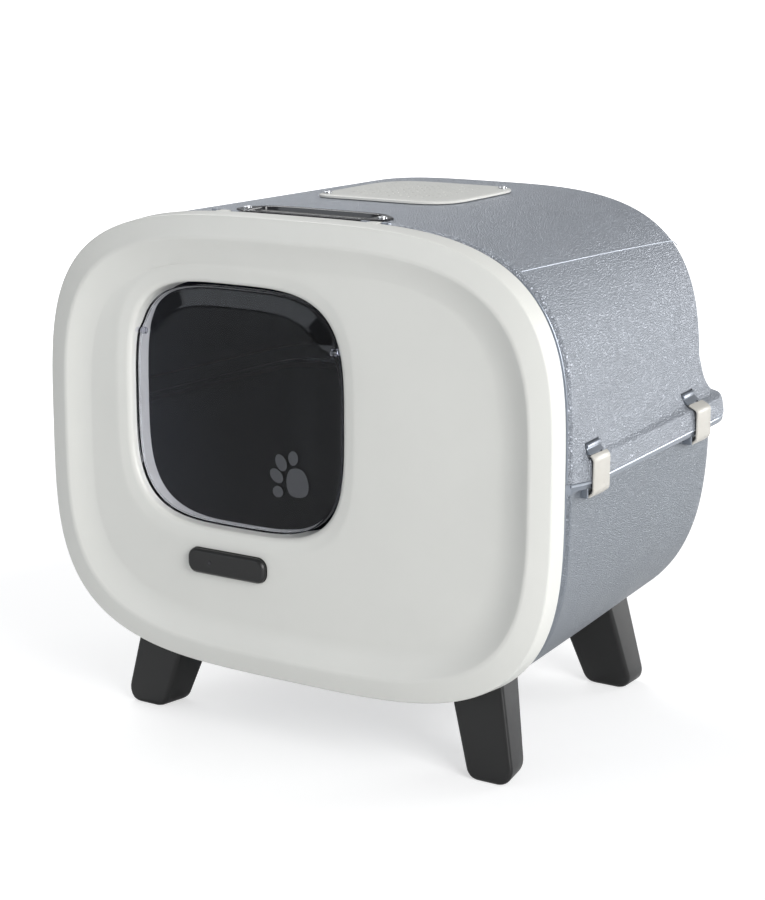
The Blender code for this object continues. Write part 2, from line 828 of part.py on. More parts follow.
# ---------------------------------------------------------------- carry handle
def make_handle():
    """Bail handle that lies in a glossy well in the hood's top."""
    count, top, floor = 36, 0.0018, HANDLE_WALL - HANDLE_DEPTH
    tub = outline(0, 0, *grown(HANDLE_OPENING, HANDLE_WALL), HANDLE_POWER, count)
    opening = outline(0, 0, *HANDLE_OPENING, HANDLE_POWER, count)
    rows = [
        (tub, -HANDLE_DEPTH),
        (tub, GAP),
        (spindle(*HANDLE_PLATE, count), GAP),
        (spindle(*grown(HANDLE_PLATE, -0.001), count), top),
        (opening, top),
        (outline(0, 0, *grown(HANDLE_OPENING, -0.001), HANDLE_POWER, count), floor),
    ]
    well = plan_plate("handle_well", HANDLE_Y, rows, BLACK)
    conform(well, 0)
    pivot = (depth(BAIL_PIVOT_Y), hood_top(0, HANDLE_Y) - BAIL_SINK)
    bend = 0.0045
    path = [
        (-BAIL_REACH, 0),
        (-BAIL_REACH, BAIL_LENGTH - bend),
        (-BAIL_REACH + bend, BAIL_LENGTH),
        (BAIL_REACH - bend, BAIL_LENGTH),
        (BAIL_REACH, BAIL_LENGTH - bend),
        (BAIL_REACH, 0),
    ]
    widths = (BAIL_ARM, BAIL_ARM, BAIL_GRIP, BAIL_GRIP, BAIL_ARM, BAIL_ARM)
    bail = flat_prism("carry_handle", ribbon(path, widths), BAIL_ARM, BLACK, (0, *pivot))
    round_off(bail, 0.0012)
    eyes, holes = [], []
    for name, side in SIDES.items():
        near = (side * (BAIL_REACH - BAIL_EYE / 2), *pivot)
        far = (side * (BAIL_REACH + BAIL_EYE / 2), *pivot)
        wall = (side * (HANDLE_OPENING[0] - 0.0025), *pivot)
        eyes.append(rod(f"bail_eye_{name}", near, far, 0.0034, None, 16, collection=CUTTERS))
        holes.append(rod(f"bail_bore_{name}", near, wall, 0.0021, None, 12, collection=CUTTERS))
        rod(f"handle_pin_{name}", (near[0] + side * 0.0002, *pivot), wall, 0.0017, STEEL, 12)
    boolean(bail, eyes, "UNION")
    boolean(bail, holes, "DIFFERENCE")


def make_cup_screw(name, x, back, lift):
    """A screw head in a bright cup washer on the hood's top."""
    level = hood_top(x, back) + lift
    rod(name, (x, depth(back), level), (x, depth(back), level + 0.0016), 0.0042, STEEL, 20, 0.0030)


# ---------------------------------------------------------------- vent
def make_vent():
    """Perforated cover, held by a screw in each of its two sharper corners."""
    sizes = [  # half-size of each ring, and its height above the hood
        (VENT_A * 0.4, GAP),
        (VENT_A * 0.75, GAP),
        (VENT_A - 0.004, GAP),
        (VENT_A, 0.0010),
        (VENT_A - 0.0008, 0.0030),
        (VENT_A - 0.008, 0.0038),
        (VENT_A * 0.75, 0.0042),
        (VENT_A * 0.4, 0.0044),
    ]
    rows = [(leaf(half, half, 40), height) for half, height in sizes]
    cover = plan_plate("vent_cover", VENT_Y, rows, CREAM)
    conform(cover, 0)


def make_filter():
    """Carbon pad in a slotted cage that hangs under the hood's top."""
    middle = depth(VENT_Y)
    level = hood_top(CAGE_A, VENT_Y - CAGE_A) - WALL - 0.0010
    inside = CAGE_A - CAGE_WALL
    cage = block(
        "filter_cage",
        (-CAGE_A, middle - CAGE_A, level - CAGE_DEPTH),
        (CAGE_A, middle + CAGE_A, level),
        BLACK,
    )
    pocket = block(
        "filter_pocket",
        (-inside, middle - inside, level - CAGE_DEPTH + 0.002),
        (inside, middle + inside, level + 0.01),
        None,
        0,
        CUTTERS,
    )
    slots = []
    for i in range(5):
        x = (i - 2) * 0.022
        low = (x - 0.006, middle - inside + 0.010, level - 2 * CAGE_DEPTH)
        high = (x + 0.006, middle + inside - 0.010, level)
        slots.append(block(f"cage_slot_{i}", low, high, None, 0, CUTTERS))
    boolean(cage, [pocket, *slots], "DIFFERENCE")
    block(
        "carbon_filter",
        (-FILTER_A, middle - FILTER_A, level - CAGE_DEPTH + 0.0025),
        (FILTER_A, middle + FILTER_A, level - 0.0015),
        CARBON,
        0.002,
    )


# ---------------------------------------------------------------- legs
def corner_inset(z, radius):
    """How far a foot's rounded corner lies inside its side at a height."""
    share = max(1 - z / radius, 0)
    return radius * (1 - math.sqrt(1 - share * share))


def make_leg(name, side, foot, top, slant, envelope):
    """A tapered leg, leaning outwards, with a round-cornered foot and its top cut to the base."""

    def build(shape):
        rings = []
        for z in (0.0, 0.0012, 0.0036, 0.009, 0.018, 1.5 * LEG_RISE):
            middle_y, middle_x, width, thickness = (mix(pair, z / LEG_RISE) for pair in zip(foot, top))
            inner, outer = corner_inset(z, FOOT_ROUND[0]), corner_inset(z, FOOT_ROUND[1])
            ring = []
            for u, v in pill_box((width - inner - outer) / 2, thickness / 2, 0.0035):
                x = middle_x + (inner - outer) / 2 + u - slant * v
                ring.append((side * x, depth(middle_y + v), z))
            rings.append(ring)
        rows = skin(shape, rings, closed=True)
        shape.faces.new(rows[0][::-1])
        shape.faces.new(rows[-1])
        bmesh.ops.recalc_face_normals(shape, faces=shape.faces)

    leg = add(f"leg_{name}", mesh_of(f"leg_{name}", build), BLACK)
    boolean(leg, [envelope], "DIFFERENCE")


def make_legs(envelope):
    for place, shape in LEGS.items():
        for side_name, side in SIDES.items():
            make_leg(f"{place}_{side_name}", side, *shape, envelope)


# ---------------------------------------------------------------- assembly
hinge_bore = make_hood()
base_tray = make_base()
make_panel(hinge_bore)
make_flap()
make_latch()
make_hinge_pins()
make_clips(base_tray)
make_handle()
for side_label, sign in SIDES.items():
    make_cup_screw(f"handle_screw_{side_label}", sign * HANDLE_SCREW_X, HANDLE_Y, 0.0022)
make_vent()
make_filter()
for place_label, sign in (("front", -1), ("rear", 1)):
    make_cup_screw(f"vent_screw_{place_label}", sign * VENT_TIP[0], VENT_Y + sign * VENT_TIP[1], 0.0045)
make_legs(base_envelope())
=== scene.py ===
"""Cat litter box with a hood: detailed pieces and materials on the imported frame.

Metres, +Z up, +X to the right, the front faces -Y. Every depth is a distance behind the front
edge of the panel's rim.
"""

import json
import math

import bmesh
import bpy
from mathutils import Matrix, Vector


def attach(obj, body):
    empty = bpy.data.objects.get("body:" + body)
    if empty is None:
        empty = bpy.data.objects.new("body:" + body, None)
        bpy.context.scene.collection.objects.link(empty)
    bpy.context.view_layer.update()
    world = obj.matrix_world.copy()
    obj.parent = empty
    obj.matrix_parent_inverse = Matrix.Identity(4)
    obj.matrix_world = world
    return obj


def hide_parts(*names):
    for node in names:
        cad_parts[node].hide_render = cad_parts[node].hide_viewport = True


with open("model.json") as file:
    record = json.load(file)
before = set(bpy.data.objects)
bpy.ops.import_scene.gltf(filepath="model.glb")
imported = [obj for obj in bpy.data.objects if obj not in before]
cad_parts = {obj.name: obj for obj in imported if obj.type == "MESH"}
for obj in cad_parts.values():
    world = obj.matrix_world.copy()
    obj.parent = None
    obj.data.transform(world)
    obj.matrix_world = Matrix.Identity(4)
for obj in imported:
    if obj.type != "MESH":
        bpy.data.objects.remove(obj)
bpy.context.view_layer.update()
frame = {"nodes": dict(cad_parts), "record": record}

# ---------------------------------------------------------------- dimensions
FRONT_Y = -0.1996  # plane of the front panel's outer edge
SEAM_Z = 0.2850  # joint between hood and base
SEAM_GAP = 0.0005
GAP = 0.0004  # between a piece and the one it sits on
WALL = 0.0026

PANEL_A, PANEL_B = 0.270, 0.2118  # half-sizes of the front panel
PANEL_Z = 0.2822
PANEL_POWER = 3.56  # how square the outline is
PANEL_SKIRT = 0.021
ENTRY_X, ENTRY_Z = -0.062, 0.3155  # centre of the way in
ENTRY_A, ENTRY_B = 0.119, 0.115
ENTRY_POWER = 3.6
TUNNEL_BACK = 0.036
FLAP_GAP = 0.0035
FLAP_DEPTH = 0.0155
FLAP_HINGE_Z = 0.3785
FLAP_SHEET = 0.003
FLAP_A, FLAP_B = ENTRY_A - FLAP_GAP, ENTRY_B - FLAP_GAP
FLAP_PIN = ENTRY_A * 0.967 - 0.012  # where each of the flap's pins starts, from its middle
FLAP_CREASE, FLAP_LEAN = 0.84, 0.0035  # where the border starts to lean, as a share; how far
MOUTH_EDGE = 0.016  # outset of the rounding round the way in
FACE_BACK, FACE_DISH = 0.0056, 0.0008  # of the panel's face behind its edge

BODY_FRONT = 0.0235
CREASE = 0.0375  # where the neck behind the panel ends
NECK_END = CREASE - 0.0022  # where its smooth finish ends
BODY_REAR = 0.387
NECK = 0.0045
FRONT_LIP, LIP_RINGS = 0.012, 6  # how far the hood's front edge turns inwards; its rings
HOOD_A, HOOD_B = (0.270, 0.237), (0.209, 0.213)  # front and rear
BASE_A, BASE_B = (0.2695, 0.250), (0.213, 0.2045)
BODY_POWER = 3.56
REAR_ROUND = 0.030
FLANGE_A = (0.277, 0.262)
FLANGE_REAR = 0.016
FLANGE_START = 0.062
FLANGE_STEP = 0.001  # of the tray's flange under the hood's
LIP_BASE, LIP_BASE_END = 0.0065, 0.0088  # drop of the tray's lip, to its edge and to the wall
RIM_LINE = (0.0003, 0.0017, 0.0018)  # its line, inwards, forwards and below the seam
REAR_DRAFT, DRAFT_START = 0.045, 0.10  # how far the tray's rear leans in, and where that starts
ARCH_TURN = 0.78  # share of the height above which points are spread over the width
SHOULDER = (0.217, 0.206)  # x of the line between the hood's top and sides
SHOULDER_SPAN = (0.03, 0.36)  # depths at which that x is given

LATCH_X, LATCH_Z = -0.068, 0.1695
LATCH_W, LATCH_H = 0.087, 0.0235
LATCH_BACK = 0.0150
LATCH_ROUND = 0.0095
LATCH_GAP = 0.0006
LATCH_DOT = -0.018  # x of the small dot from the button's middle
NOTCH_MARGIN, NOTCH_SILL = 0.018, LATCH_Z + 0.013  # of the tray under the way in
HINGE_X, HINGE_Z = 0.080, 0.4930
HOOD_LUGS = ((-0.0145, -0.0065), (0.0065, 0.0145))  # ends of each lug from the hinge's middle
PANEL_LUG = (-0.006, 0.006)
HOOD_LUG_SECTION = (0.0243, 0.0292), (-0.0056, 0.0024)  # depths; heights from the pin
PANEL_LUG_SECTION = (0.0185, 0.0289), (-0.0020, 0.0022)

HANDLE_Y = 0.0495
HANDLE_PLATE, HANDLE_OPENING = (0.080, 0.024), (0.0635, 0.019)
HANDLE_POWER = 6  # how square the well is
HANDLE_WALL, HANDLE_DEPTH = 0.0020, 0.0165
HANDLE_SCREW_X = 0.0725
CUP_RADIUS = 0.0042  # of the bright washer under a screw
BAIL_PIVOT_Y, BAIL_REACH = 0.038, 0.057
BAIL_ARM, BAIL_GRIP = 0.0055, 0.010
BAIL_SINK = 0.0026
VENT_Y, VENT_A = 0.224, 0.0725
VENT_TIP, VENT_HOLE_A = (0.0620, 0.0590), 0.056
VENT_PITCH = (0.0115, 0.00989)  # between columns of holes, and between the holes of one
VENT_FIELD, VENT_BORE = 0.052, 0.0017  # half-size of the field of holes, radius of a hole

CLIP_YS = {"front": 0.074, "rear": 0.310}
CLIP_W, CLIP_SHEET = 0.030, 0.0022
CLIP_PIN_DROP = 0.0128  # of the clip's pin below the seam
CLIP_PIN_IN = 0.0050  # of the pin behind the clip's inner face
CLIP_CURL = 0.0026  # radius of the strip round its pin
CLIP_GAP = 0.0008
POCKET = (0.0180, 0.0318)  # heights above the seam of the recess behind each catch
POCKET_SINK = 0.0016  # depth of that recess
LEGS = {  # depth, half-spacing, width and thickness of foot and top; slant of the sides in plan
    "front": ((0.0540, 0.1925, 0.0475, 0.0335), (0.0666, 0.1710, 0.0560, 0.0430), 0.18),
    "rear": ((0.3470, 0.1670, 0.0525, 0.0335), (0.3330, 0.1445, 0.0635, 0.0410), 0.0),
}
LEG_RISE = 0.083
LEG_ROUND = 0.0042
FOOT_ROUND = (0.009, 0.018)  # radius of the foot's inner and outer corner
FOOT_EDGE = 0.004  # radius at its front and back

SIDES = {"left": -1, "right": 1}


# ---------------------------------------------------------------- numbers and outlines
def depth(value):
    """World Y of a distance behind the panel's edge."""
    return FRONT_Y + value


def mix(pair, share):
    return pair[0] + (pair[1] - pair[0]) * share


def smooth(low, high, value):
    share = min(max((value - low) / (high - low), 0.0), 1.0)
    return share * share * (3 - 2 * share)


def grown(sizes, margin):
    return tuple(size + margin for size in sizes)


def spread(low, high, count):
    """Evenly spaced numbers, both ends included."""
    return [low + (high - low) * i / (count - 1) for i in range(count)]


def filleted(corners, steps=5):
    """A polyline of (u, v, reach) with each corner rounded over its reach."""
    points = [Vector(corners[0][:2])]
    for before, here, after in zip(corners, corners[1:], corners[2:]):
        corner = Vector(here[:2])
        back, ahead = Vector(before[:2]) - corner, Vector(after[:2]) - corner
        reach = min(here[2], 0.48 * back.length, 0.48 * ahead.length)
        start, end = corner + back.normalized() * reach, corner + ahead.normalized() * reach
        for share in spread(0, 1, steps + 1):
            low, high = start.lerp(corner, share), corner.lerp(end, share)
            points.append(low.lerp(high, share))
    points.append(Vector(corners[-1][:2]))
    return [tuple(point) for point in points]


def outline(centre_x, centre_z, half_w, half_h, power, count):
    """Points of a rounded rectangle, anticlockwise seen from -Y."""
    points = []
    for i in range(count):
        turn = 2 * math.pi * (i + 0.5) / count
        cos, sin = math.cos(turn), math.sin(turn)
        x = half_w * math.copysign(abs(cos) ** (2 / power), cos)
        z = half_h * math.copysign(abs(sin) ** (2 / power), sin)
        points.append((centre_x + x, centre_z + z))
    return points


def round_box(half_w, half_h, radius, steps=6):
    """Outline of a rectangle with round corners."""
    points = []
    for quarter, (sx, sy) in enumerate(((1, 1), (-1, 1), (-1, -1), (1, -1))):
        for i in range(steps + 1):
            turn = math.pi / 2 * (quarter + i / steps)
            x = sx * (half_w - radius) + radius * math.cos(turn)
            y = sy * (half_h - radius) + radius * math.sin(turn)
            points.append((x, y))
    return points


def leaf(half, count):
    """A rounded square, sharper at the two corners on one diagonal."""
    blunt = outline(0, 0, half, half, 4.0, count)
    sharp = outline(0, 0, half, half, 8.0, count)
    return [b if b[0] * b[1] < 0 else s for b, s in zip(blunt, sharp)]


def spindle(half_w, half_h, count):
    """A rounded bar that narrows towards both ends."""
    points = outline(0, 0, half_w, half_h, 5, count)
    return [(x, y * (1 - 0.4 * smooth(0.72 * half_w, half_w, abs(x)))) for x, y in points]


def heading(path, i):
    """Direction of a path at one of its points."""
    ahead, behind = path[min(i + 1, len(path) - 1)], path[max(i - 1, 0)]
    return (Vector(ahead) - Vector(behind)).normalized()


def ribbon(path, width):
    """Closed outline of a strip along a path."""
    left, right = [], []
    for i, point in enumerate(path):
        along = heading(path, i)
        side = Vector((-along.y, along.x)) * width / 2
        left.append(tuple(Vector(point) + side))
        right.append(tuple(Vector(point) - side))
    return left + right[::-1]


def entry_outline(outset, count):
    return outline(ENTRY_X, ENTRY_Z, ENTRY_A + outset, ENTRY_B + outset, ENTRY_POWER, count)


def button_outline(outset):
    half_w, half_h = grown((LATCH_W / 2, LATCH_H / 2), outset)
    return round_box(half_w, half_h, LATCH_ROUND + outset, 10)


def well_outline(margin, count):
    return outline(0, 0, *grown(HANDLE_OPENING, margin), HANDLE_POWER, count)


def bezel_outline(margin, count):
    return spindle(*grown(HANDLE_PLATE, margin), count)


def facing_ring(points, back):
    """Points of (x, z) in space, at a distance behind the panel's edge."""
    return [(x, depth(back), z) for x, z in points]


# ---------------------------------------------------------------- nodes for materials
class Shader:
    """A Principled material with its node tree, built up by the functions below."""

    def __init__(self, name, colour, roughness, metallic=0.0):
        self.material = bpy.data.materials.new(name)
        self.material.use_nodes = True
        self.nodes = self.material.node_tree.nodes
        self.links = self.material.node_tree.links
        self.skin = self.nodes["Principled BSDF"]
        self.colour = colour
        self.skin.inputs["Base Color"].default_value = (*colour, 1)
        self.skin.inputs["Roughness"].default_value = roughness
        self.skin.inputs["Metallic"].default_value = metallic
        self.place = self.node("ShaderNodeTexCoord").outputs["Object"]
        self.height = None

    def node(self, kind, **settings):
        made = self.nodes.new(kind)
        for key, value in settings.items():
            setattr(made, key, value)
        return made

    def join(self, source, target):
        self.links.new(source, target)

    def noise(self, scale, detail=3.0, roughness=0.55, place=None):
        made = self.node("ShaderNodeTexNoise")
        made.inputs["Scale"].default_value = scale
        made.inputs["Detail"].default_value = detail
        made.inputs["Roughness"].default_value = roughness
        self.join(place or self.place, made.inputs["Vector"])
        return made.outputs["Fac"]

    def ranged(self, source, low, high, to_low, to_high):
        made = self.node("ShaderNodeMapRange")
        for socket, value in zip(made.inputs[1:5], (low, high, to_low, to_high)):
            socket.default_value = value
        self.join(source, made.inputs[0])
        return made.outputs[0]

    def math(self, operation, *values):
        made = self.node("ShaderNodeMath", operation=operation)
        for socket, value in zip(made.inputs, values):
            if isinstance(value, (int, float)):
                socket.default_value = value
            else:
                self.join(value, socket)
        return made.outputs[0]

    def mottle(self, source, amount):
        """Lets the colour vary by a share of itself."""
        blend = self.node("ShaderNodeMix", data_type="RGBA")
        dark = tuple(c * (1 - amount) for c in self.colour)
        light = tuple(min(c * (1 + amount), 1.0) for c in self.colour)
        blend.inputs[6].default_value = (*dark, 1)
        blend.inputs[7].default_value = (*light, 1)
        self.join(source, blend.inputs[0])
        self.join(blend.outputs[2], self.skin.inputs["Base Color"])

    def gloss(self, source, low, high):
        self.join(self.ranged(source, 0.3, 0.7, low, high), self.skin.inputs["Roughness"])

    def bump(self, source, distance, strength=1.0):
        made = self.node("ShaderNodeBump")
        made.inputs["Strength"].default_value = strength
        made.inputs["Distance"].default_value = distance
        self.join(source, made.inputs["Height"])
        if self.height is not None:
            self.join(self.height, made.inputs["Normal"])
        self.height = made.outputs[0]
        self.join(self.height, self.skin.inputs["Normal"])

    def wobbled(self, scale, amount):
        """The place, pushed about by noise, so that a cell pattern loses its regular look."""
        noise = self.noise(scale, 2.0, 0.5).node
        centred = self.node("ShaderNodeVectorMath", operation="SUBTRACT")
        centred.inputs[1].default_value = (0.5, 0.5, 0.5)
        self.join(noise.outputs["Color"], centred.inputs[0])
        scaled = self.node("ShaderNodeVectorMath", operation="SCALE")
        scaled.inputs["Scale"].default_value = amount
        self.join(centred.outputs[0], scaled.inputs[0])
        moved = self.node("ShaderNodeVectorMath", operation="ADD")
        self.join(self.place, moved.inputs[0])
        self.join(scaled.outputs[0], moved.inputs[1])
        return moved.outputs[0]

    def cells(self, scale, place):
        """Distance to the nearest edge of a cell, from 0 in the creases to 1 on the pebbles."""
        made = self.node("ShaderNodeTexVoronoi", feature="DISTANCE_TO_EDGE")
        made.inputs["Scale"].default_value = scale
        self.join(place, made.inputs["Vector"])
        return self.ranged(made.outputs["Distance"], 0.0, 0.32, 0.0, 1.0)

    def blend(self, share, first, second):
        """Makes the surface a mixture of two shaders."""
        made = self.node("ShaderNodeMixShader")
        for socket, source in zip(made.inputs, (share, first, second)):
            self.join(source, socket)
        self.join(made.outputs[0], self.nodes["Material Output"].inputs[0])


def satin_plastic(name, colour, roughness, metallic=0.0, fine=900.0):
    """Moulded plastic: faint cloudiness, uneven gloss and the fine texture of its mould."""
    made = Shader(name, colour, roughness, metallic)
    made.mottle(made.noise(14.0, 4.0), 0.03)
    made.gloss(made.noise(60.0, 3.0), roughness - 0.04, roughness + 0.05)
    made.bump(made.noise(fine, 2.0), 0.00006, 0.5)
    return made


def leather_plastic(name, colour, roughness, metallic, cell, relief):
    """Grained plastic: pebbles between fine creases, uneven in size, with a metallic sheen."""
    made = Shader(name, colour, roughness, metallic)
    place = made.wobbled(0.45 / cell, 0.9 * cell)
    pebbles = made.cells(1 / cell, place)
    wrinkles = made.noise(0.9 / cell, 3.0, 0.6, place)
    height = made.math("MULTIPLY_ADD", wrinkles, 0.8, pebbles)
    # The colour follows the grain's height: darker in the creases and lighter on the pebbles, as
    # painted shade in the creases.
    made.mottle(made.ranged(height, 0.2, 1.5, 0.2, 0.8), 0.10)
    made.gloss(made.noise(25.0, 3.0), roughness - 0.04, roughness + 0.05)
    made.bump(height, relief)
    made.bump(made.noise(4.5 / cell, 2.0), relief * 0.18)
    return made


def steel(name):
    made = Shader(name, (0.62, 0.63, 0.65), 0.24, 1.0)
    made.gloss(made.noise(400.0, 3.0), 0.18, 0.34)
    made.bump(made.noise(1500.0, 2.0), 0.00003, 0.6)
    return made


def carbon_felt(name):
    made = Shader(name, (0.03, 0.03, 0.032), 0.95)
    fibres = made.noise(700.0, 6.0, 0.8, made.wobbled(200.0, 0.004))
    made.mottle(fibres, 0.5)
    made.bump(fibres, 0.0006)
    return made


def smoked_clear(name):
    """Clear plastic with a faint smoky tint and waviness; it casts next to no shadow."""
    made = Shader(name, (0.70, 0.71, 0.76), 0.02)
    made.skin.inputs["Transmission Weight"].default_value = 1.0
    made.skin.inputs["IOR"].default_value = 1.27
    made.gloss(made.noise(30.0, 2.0), 0.01, 0.035)
    made.bump(made.noise(18.0, 2.0), 0.00004, 0.4)
    through = made.node("ShaderNodeBsdfTransparent")
    through.inputs["Color"].default_value = (0.93, 0.93, 0.95, 1)
    rays = made.node("ShaderNodeLightPath")
    made.blend(rays.outputs["Is Shadow Ray"], made.skin.outputs[0], through.outputs[0])
    return made


CREAM = satin_plastic("cream_plastic", (0.700, 0.700, 0.665), 0.36)
HOOD_GRAIN = leather_plastic("blue_grey_grain", (0.335, 0.358, 0.398), 0.41, 0.50, 0.0025, 0.00062)
HOOD_SMOOTH = satin_plastic("blue_grey_smooth", (0.240, 0.264, 0.302), 0.32, 0.6)
# Near-black inner faces of the hood and tray: painted shade for the same blue-grey plastic inside
# the dark box.
INSIDE_SHADE = satin_plastic("blue_grey_inside_painted_shade", (0.024, 0.028, 0.037), 0.50, 0.0)
# Lighter blue-grey for the thin lines and beads: a painted highlight on their rounded edges.
BEAD_HIGHLIGHT = satin_plastic("blue_grey_bead_painted_highlight", (0.46, 0.50, 0.56), 0.30, 0.4)
TRAY_GRAIN = leather_plastic("blue_grey_tray", (0.236, 0.258, 0.288), 0.38, 0.6, 0.0016, 0.00038)
BLACK = satin_plastic("black_plastic", (0.010, 0.010, 0.010), 0.33)
BLACK_GLOSS = satin_plastic("black_gloss", (0.020, 0.020, 0.023), 0.12)
CLEAR = smoked_clear("smoked_clear")
FROST = satin_plastic("frosted_print", (0.055, 0.057, 0.064), 0.55, 0.0, 2500.0)
BEIGE = satin_plastic("clip_plastic", (0.520, 0.502, 0.458), 0.33)
STEEL = steel("steel")
CARBON = carbon_felt("carbon_pad")

FINISHES = {  # the record's material slot of each material
    "cream_plastic": CREAM,
    "blue_grey_plastic": HOOD_GRAIN,
    "blue_grey_tray": TRAY_GRAIN,
    "black_plastic": BLACK,
    "black_gloss": BLACK_GLOSS,
    "smoked_clear": CLEAR,
    "clip_plastic": BEIGE,
    "steel": STEEL,
    "carbon_pad": CARBON,
}


# ---------------------------------------------------------------- making meshes
def mesh_object(name, build):
    """An object from a function that fills a bmesh."""
    shape = bmesh.new()
    build(shape)
    bmesh.ops.recalc_face_normals(shape, faces=shape.faces)
    mesh = bpy.data.meshes.new(name)
    shape.to_mesh(mesh)
    shape.free()
    made = bpy.data.objects.new(name, mesh)
    bpy.context.scene.collection.objects.link(made)
    return made


def rings_into(shape, rings, closed=True):
    """Faces between successive rings of points; returns the rows of vertices."""
    rows = [[shape.verts.new(point) for point in ring] for ring in rings]
    for low, high in zip(rows, rows[1:]):
        count = len(low)
        for i in range(count if closed else count - 1):
            j = (i + 1) % count
            shape.faces.new((low[i], low[j], high[j], high[i]))
    return rows


def body_into(shape, rings):
    """A closed body through rings of points."""
    rows = rings_into(shape, rings)
    shape.faces.new(rows[0][::-1])
    shape.faces.new(rows[-1])


def loft(name, rings):
    return mesh_object(name, lambda shape: body_into(shape, rings))


def bake(target):
    """Applies the modifiers and drops them."""
    graph = bpy.context.evaluated_depsgraph_get()
    mesh = bpy.data.meshes.new_from_object(target.evaluated_get(graph))
    target.modifiers.clear()
    target.data = mesh
    return target


def subtract(target, tools):
    for tool in tools:
        cut = target.modifiers.new(tool.name, "BOOLEAN")
        cut.solver = "EXACT"
        cut.object = tool
    bake(target)
    for tool in tools:
        bpy.data.objects.remove(tool)


def thicken(target, thickness):
    solid = target.modifiers.new("wall", "SOLIDIFY")
    solid.thickness = thickness
    solid.offset = -1
    solid.use_even_offset = True
    return bake(target)


def bevel(target, width, segments=3):
    edge = target.modifiers.new("edge", "BEVEL")
    edge.width = width
    edge.segments = segments
    edge.limit_method = "ANGLE"
    edge.angle_limit = math.radians(40)
    return bake(target)


def piece(target, body, finish, *nodes, surface=None, angle=32):
    """Gives a mesh its material and the body it moves with."""
    surface = surface or FINISHES[finish]
    if not target.data.materials:
        target.data.materials.append(surface.material)
    target.data.shade_smooth()
    target.data.set_sharp_from_angle(angle=math.radians(angle))
    if nodes:
        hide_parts(*nodes)
    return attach(target, body)


def block(name, low, high):
    """A box between two corners."""

    def build(shape):
        bmesh.ops.create_cube(shape, size=1.0)
        size = Vector(high) - Vector(low)
        middle = (Vector(high) + Vector(low)) / 2
        for vertex in shape.verts:
            vertex.co = Vector(c * s for c, s in zip(vertex.co, size)) + middle

    return mesh_object(name, build)


def turned(name, start, axis, profile, sides=32):
    """A body of revolution from a point along an axis, through (distance along, radius)."""
    axis = Vector(axis)
    across = axis.orthogonal().normalized()
    other = axis.cross(across)
    rings = []
    for along, radius in profile:
        centre = Vector(start) + axis * along
        ring = []
        for i in range(sides):
            turn = 2 * math.pi * i / sides
            ring.append(centre + (across * math.cos(turn) + other * math.sin(turn)) * radius)
        rings.append(ring)
    return loft(name, rings)


def prism(name, points, thickness, place, turn):
    """A flat outline extruded evenly to both sides of its plane."""
    matrix = Matrix.Translation(place) @ turn.to_4x4()
    rings = []
    for side in (-0.5, 0.5):
        rings.append([matrix @ Vector((u, v, side * thickness)) for u, v in points])
    return loft(name, rings)


FACING = Matrix(((1, 0, 0), (0, 0, 1), (0, 1, 0)))  # a plane's (u, v) to (x, z), facing -Y
FLAT = Matrix.Identity(3)  # a plane's (u, v) to (x, y)


def bead(name, points, radius):
    """A round bead along points."""
    curve = bpy.data.curves.new(name, "CURVE")
    curve.dimensions = "3D"
    curve.bevel_depth = radius
    curve.bevel_resolution = 3
    curve.use_fill_caps = True
    spline = curve.splines.new("POLY")
    spline.points.add(len(points) - 1)
    for target, point in zip(spline.points, points):
        target.co = (*point, 1)
    drawn = bpy.data.objects.new(name, curve)
    bpy.context.scene.collection.objects.link(drawn)
    graph = bpy.context.evaluated_depsgraph_get()
    mesh = bpy.data.meshes.new_from_object(drawn.evaluated_get(graph))
    bpy.data.objects.remove(drawn)
    made = bpy.data.objects.new(name, mesh)
    bpy.context.scene.collection.objects.link(made)
    return made


# ---------------------------------------------------------------- hood and base surfaces
def at_depth(sizes, back):
    """The size at a depth, between those at the body's front and rear."""
    return mix(sizes, (back - CREASE) / (BODY_REAR - CREASE))


def flange_half_width(back):
    full = mix(FLANGE_A, (back - FLANGE_START) / (BODY_REAR - FLANGE_START))
    flush = at_depth(HOOD_A, back)
    return mix((flush, full), smooth(CREASE - 0.004, FLANGE_START, back))


def superellipse(share):
    return (1 - min(share, 1.0) ** BODY_POWER) ** (1 / BODY_POWER)


FLARE_UNIT = 0.03  # height that a full share counts as when corners are rounded


def flare_curve(corners):
    """(height from the seam, share of the flange's outset) through rounded corners."""
    scaled = [(rise, share * FLARE_UNIT, reach) for rise, share, reach in corners]
    return [(rise, share / FLARE_UNIT) for rise, share in filleted(scaled, 6)]


HOOD_FLARE = flare_curve(
    [
        (0.0, 1.0, 0),
        (0.0115, 0.94, 0.003),
        (0.0168, 0.86, 0.0016),
        (0.0205, 0.51, 0.003),
        (0.0300, 0.27, 0.004),
        (0.0395, 0.14, 0.006),
        (0.0560, 0.0, 0.006),
        (0.0620, 0.0, 0),
    ]
)
BASE_FLARE = flare_curve(
    [(0.0, 1.0, 0), (LIP_BASE, 1.0, 0.0012), (LIP_BASE_END, 0.0, 0.0012), (0.03, 0.0, 0)]
)


def arch(half_w, height, flare):
    """Half outline from the seam on the right over to the left, as (x, height)."""
    low = [rise for rise, _ in flare]
    low += spread(low[-1] + 0.004, ARCH_TURN * height, 26)
    side = [(superellipse(rise / height) * half_w, rise) for rise in low]
    last = superellipse(ARCH_TURN)
    over = [share * last for share in spread(0.975, 0.0, 40)]
    side += [(share * half_w, superellipse(share) * height) for share in over]
    return side + [(-x, h) for x, h in reversed(side[:-1])]


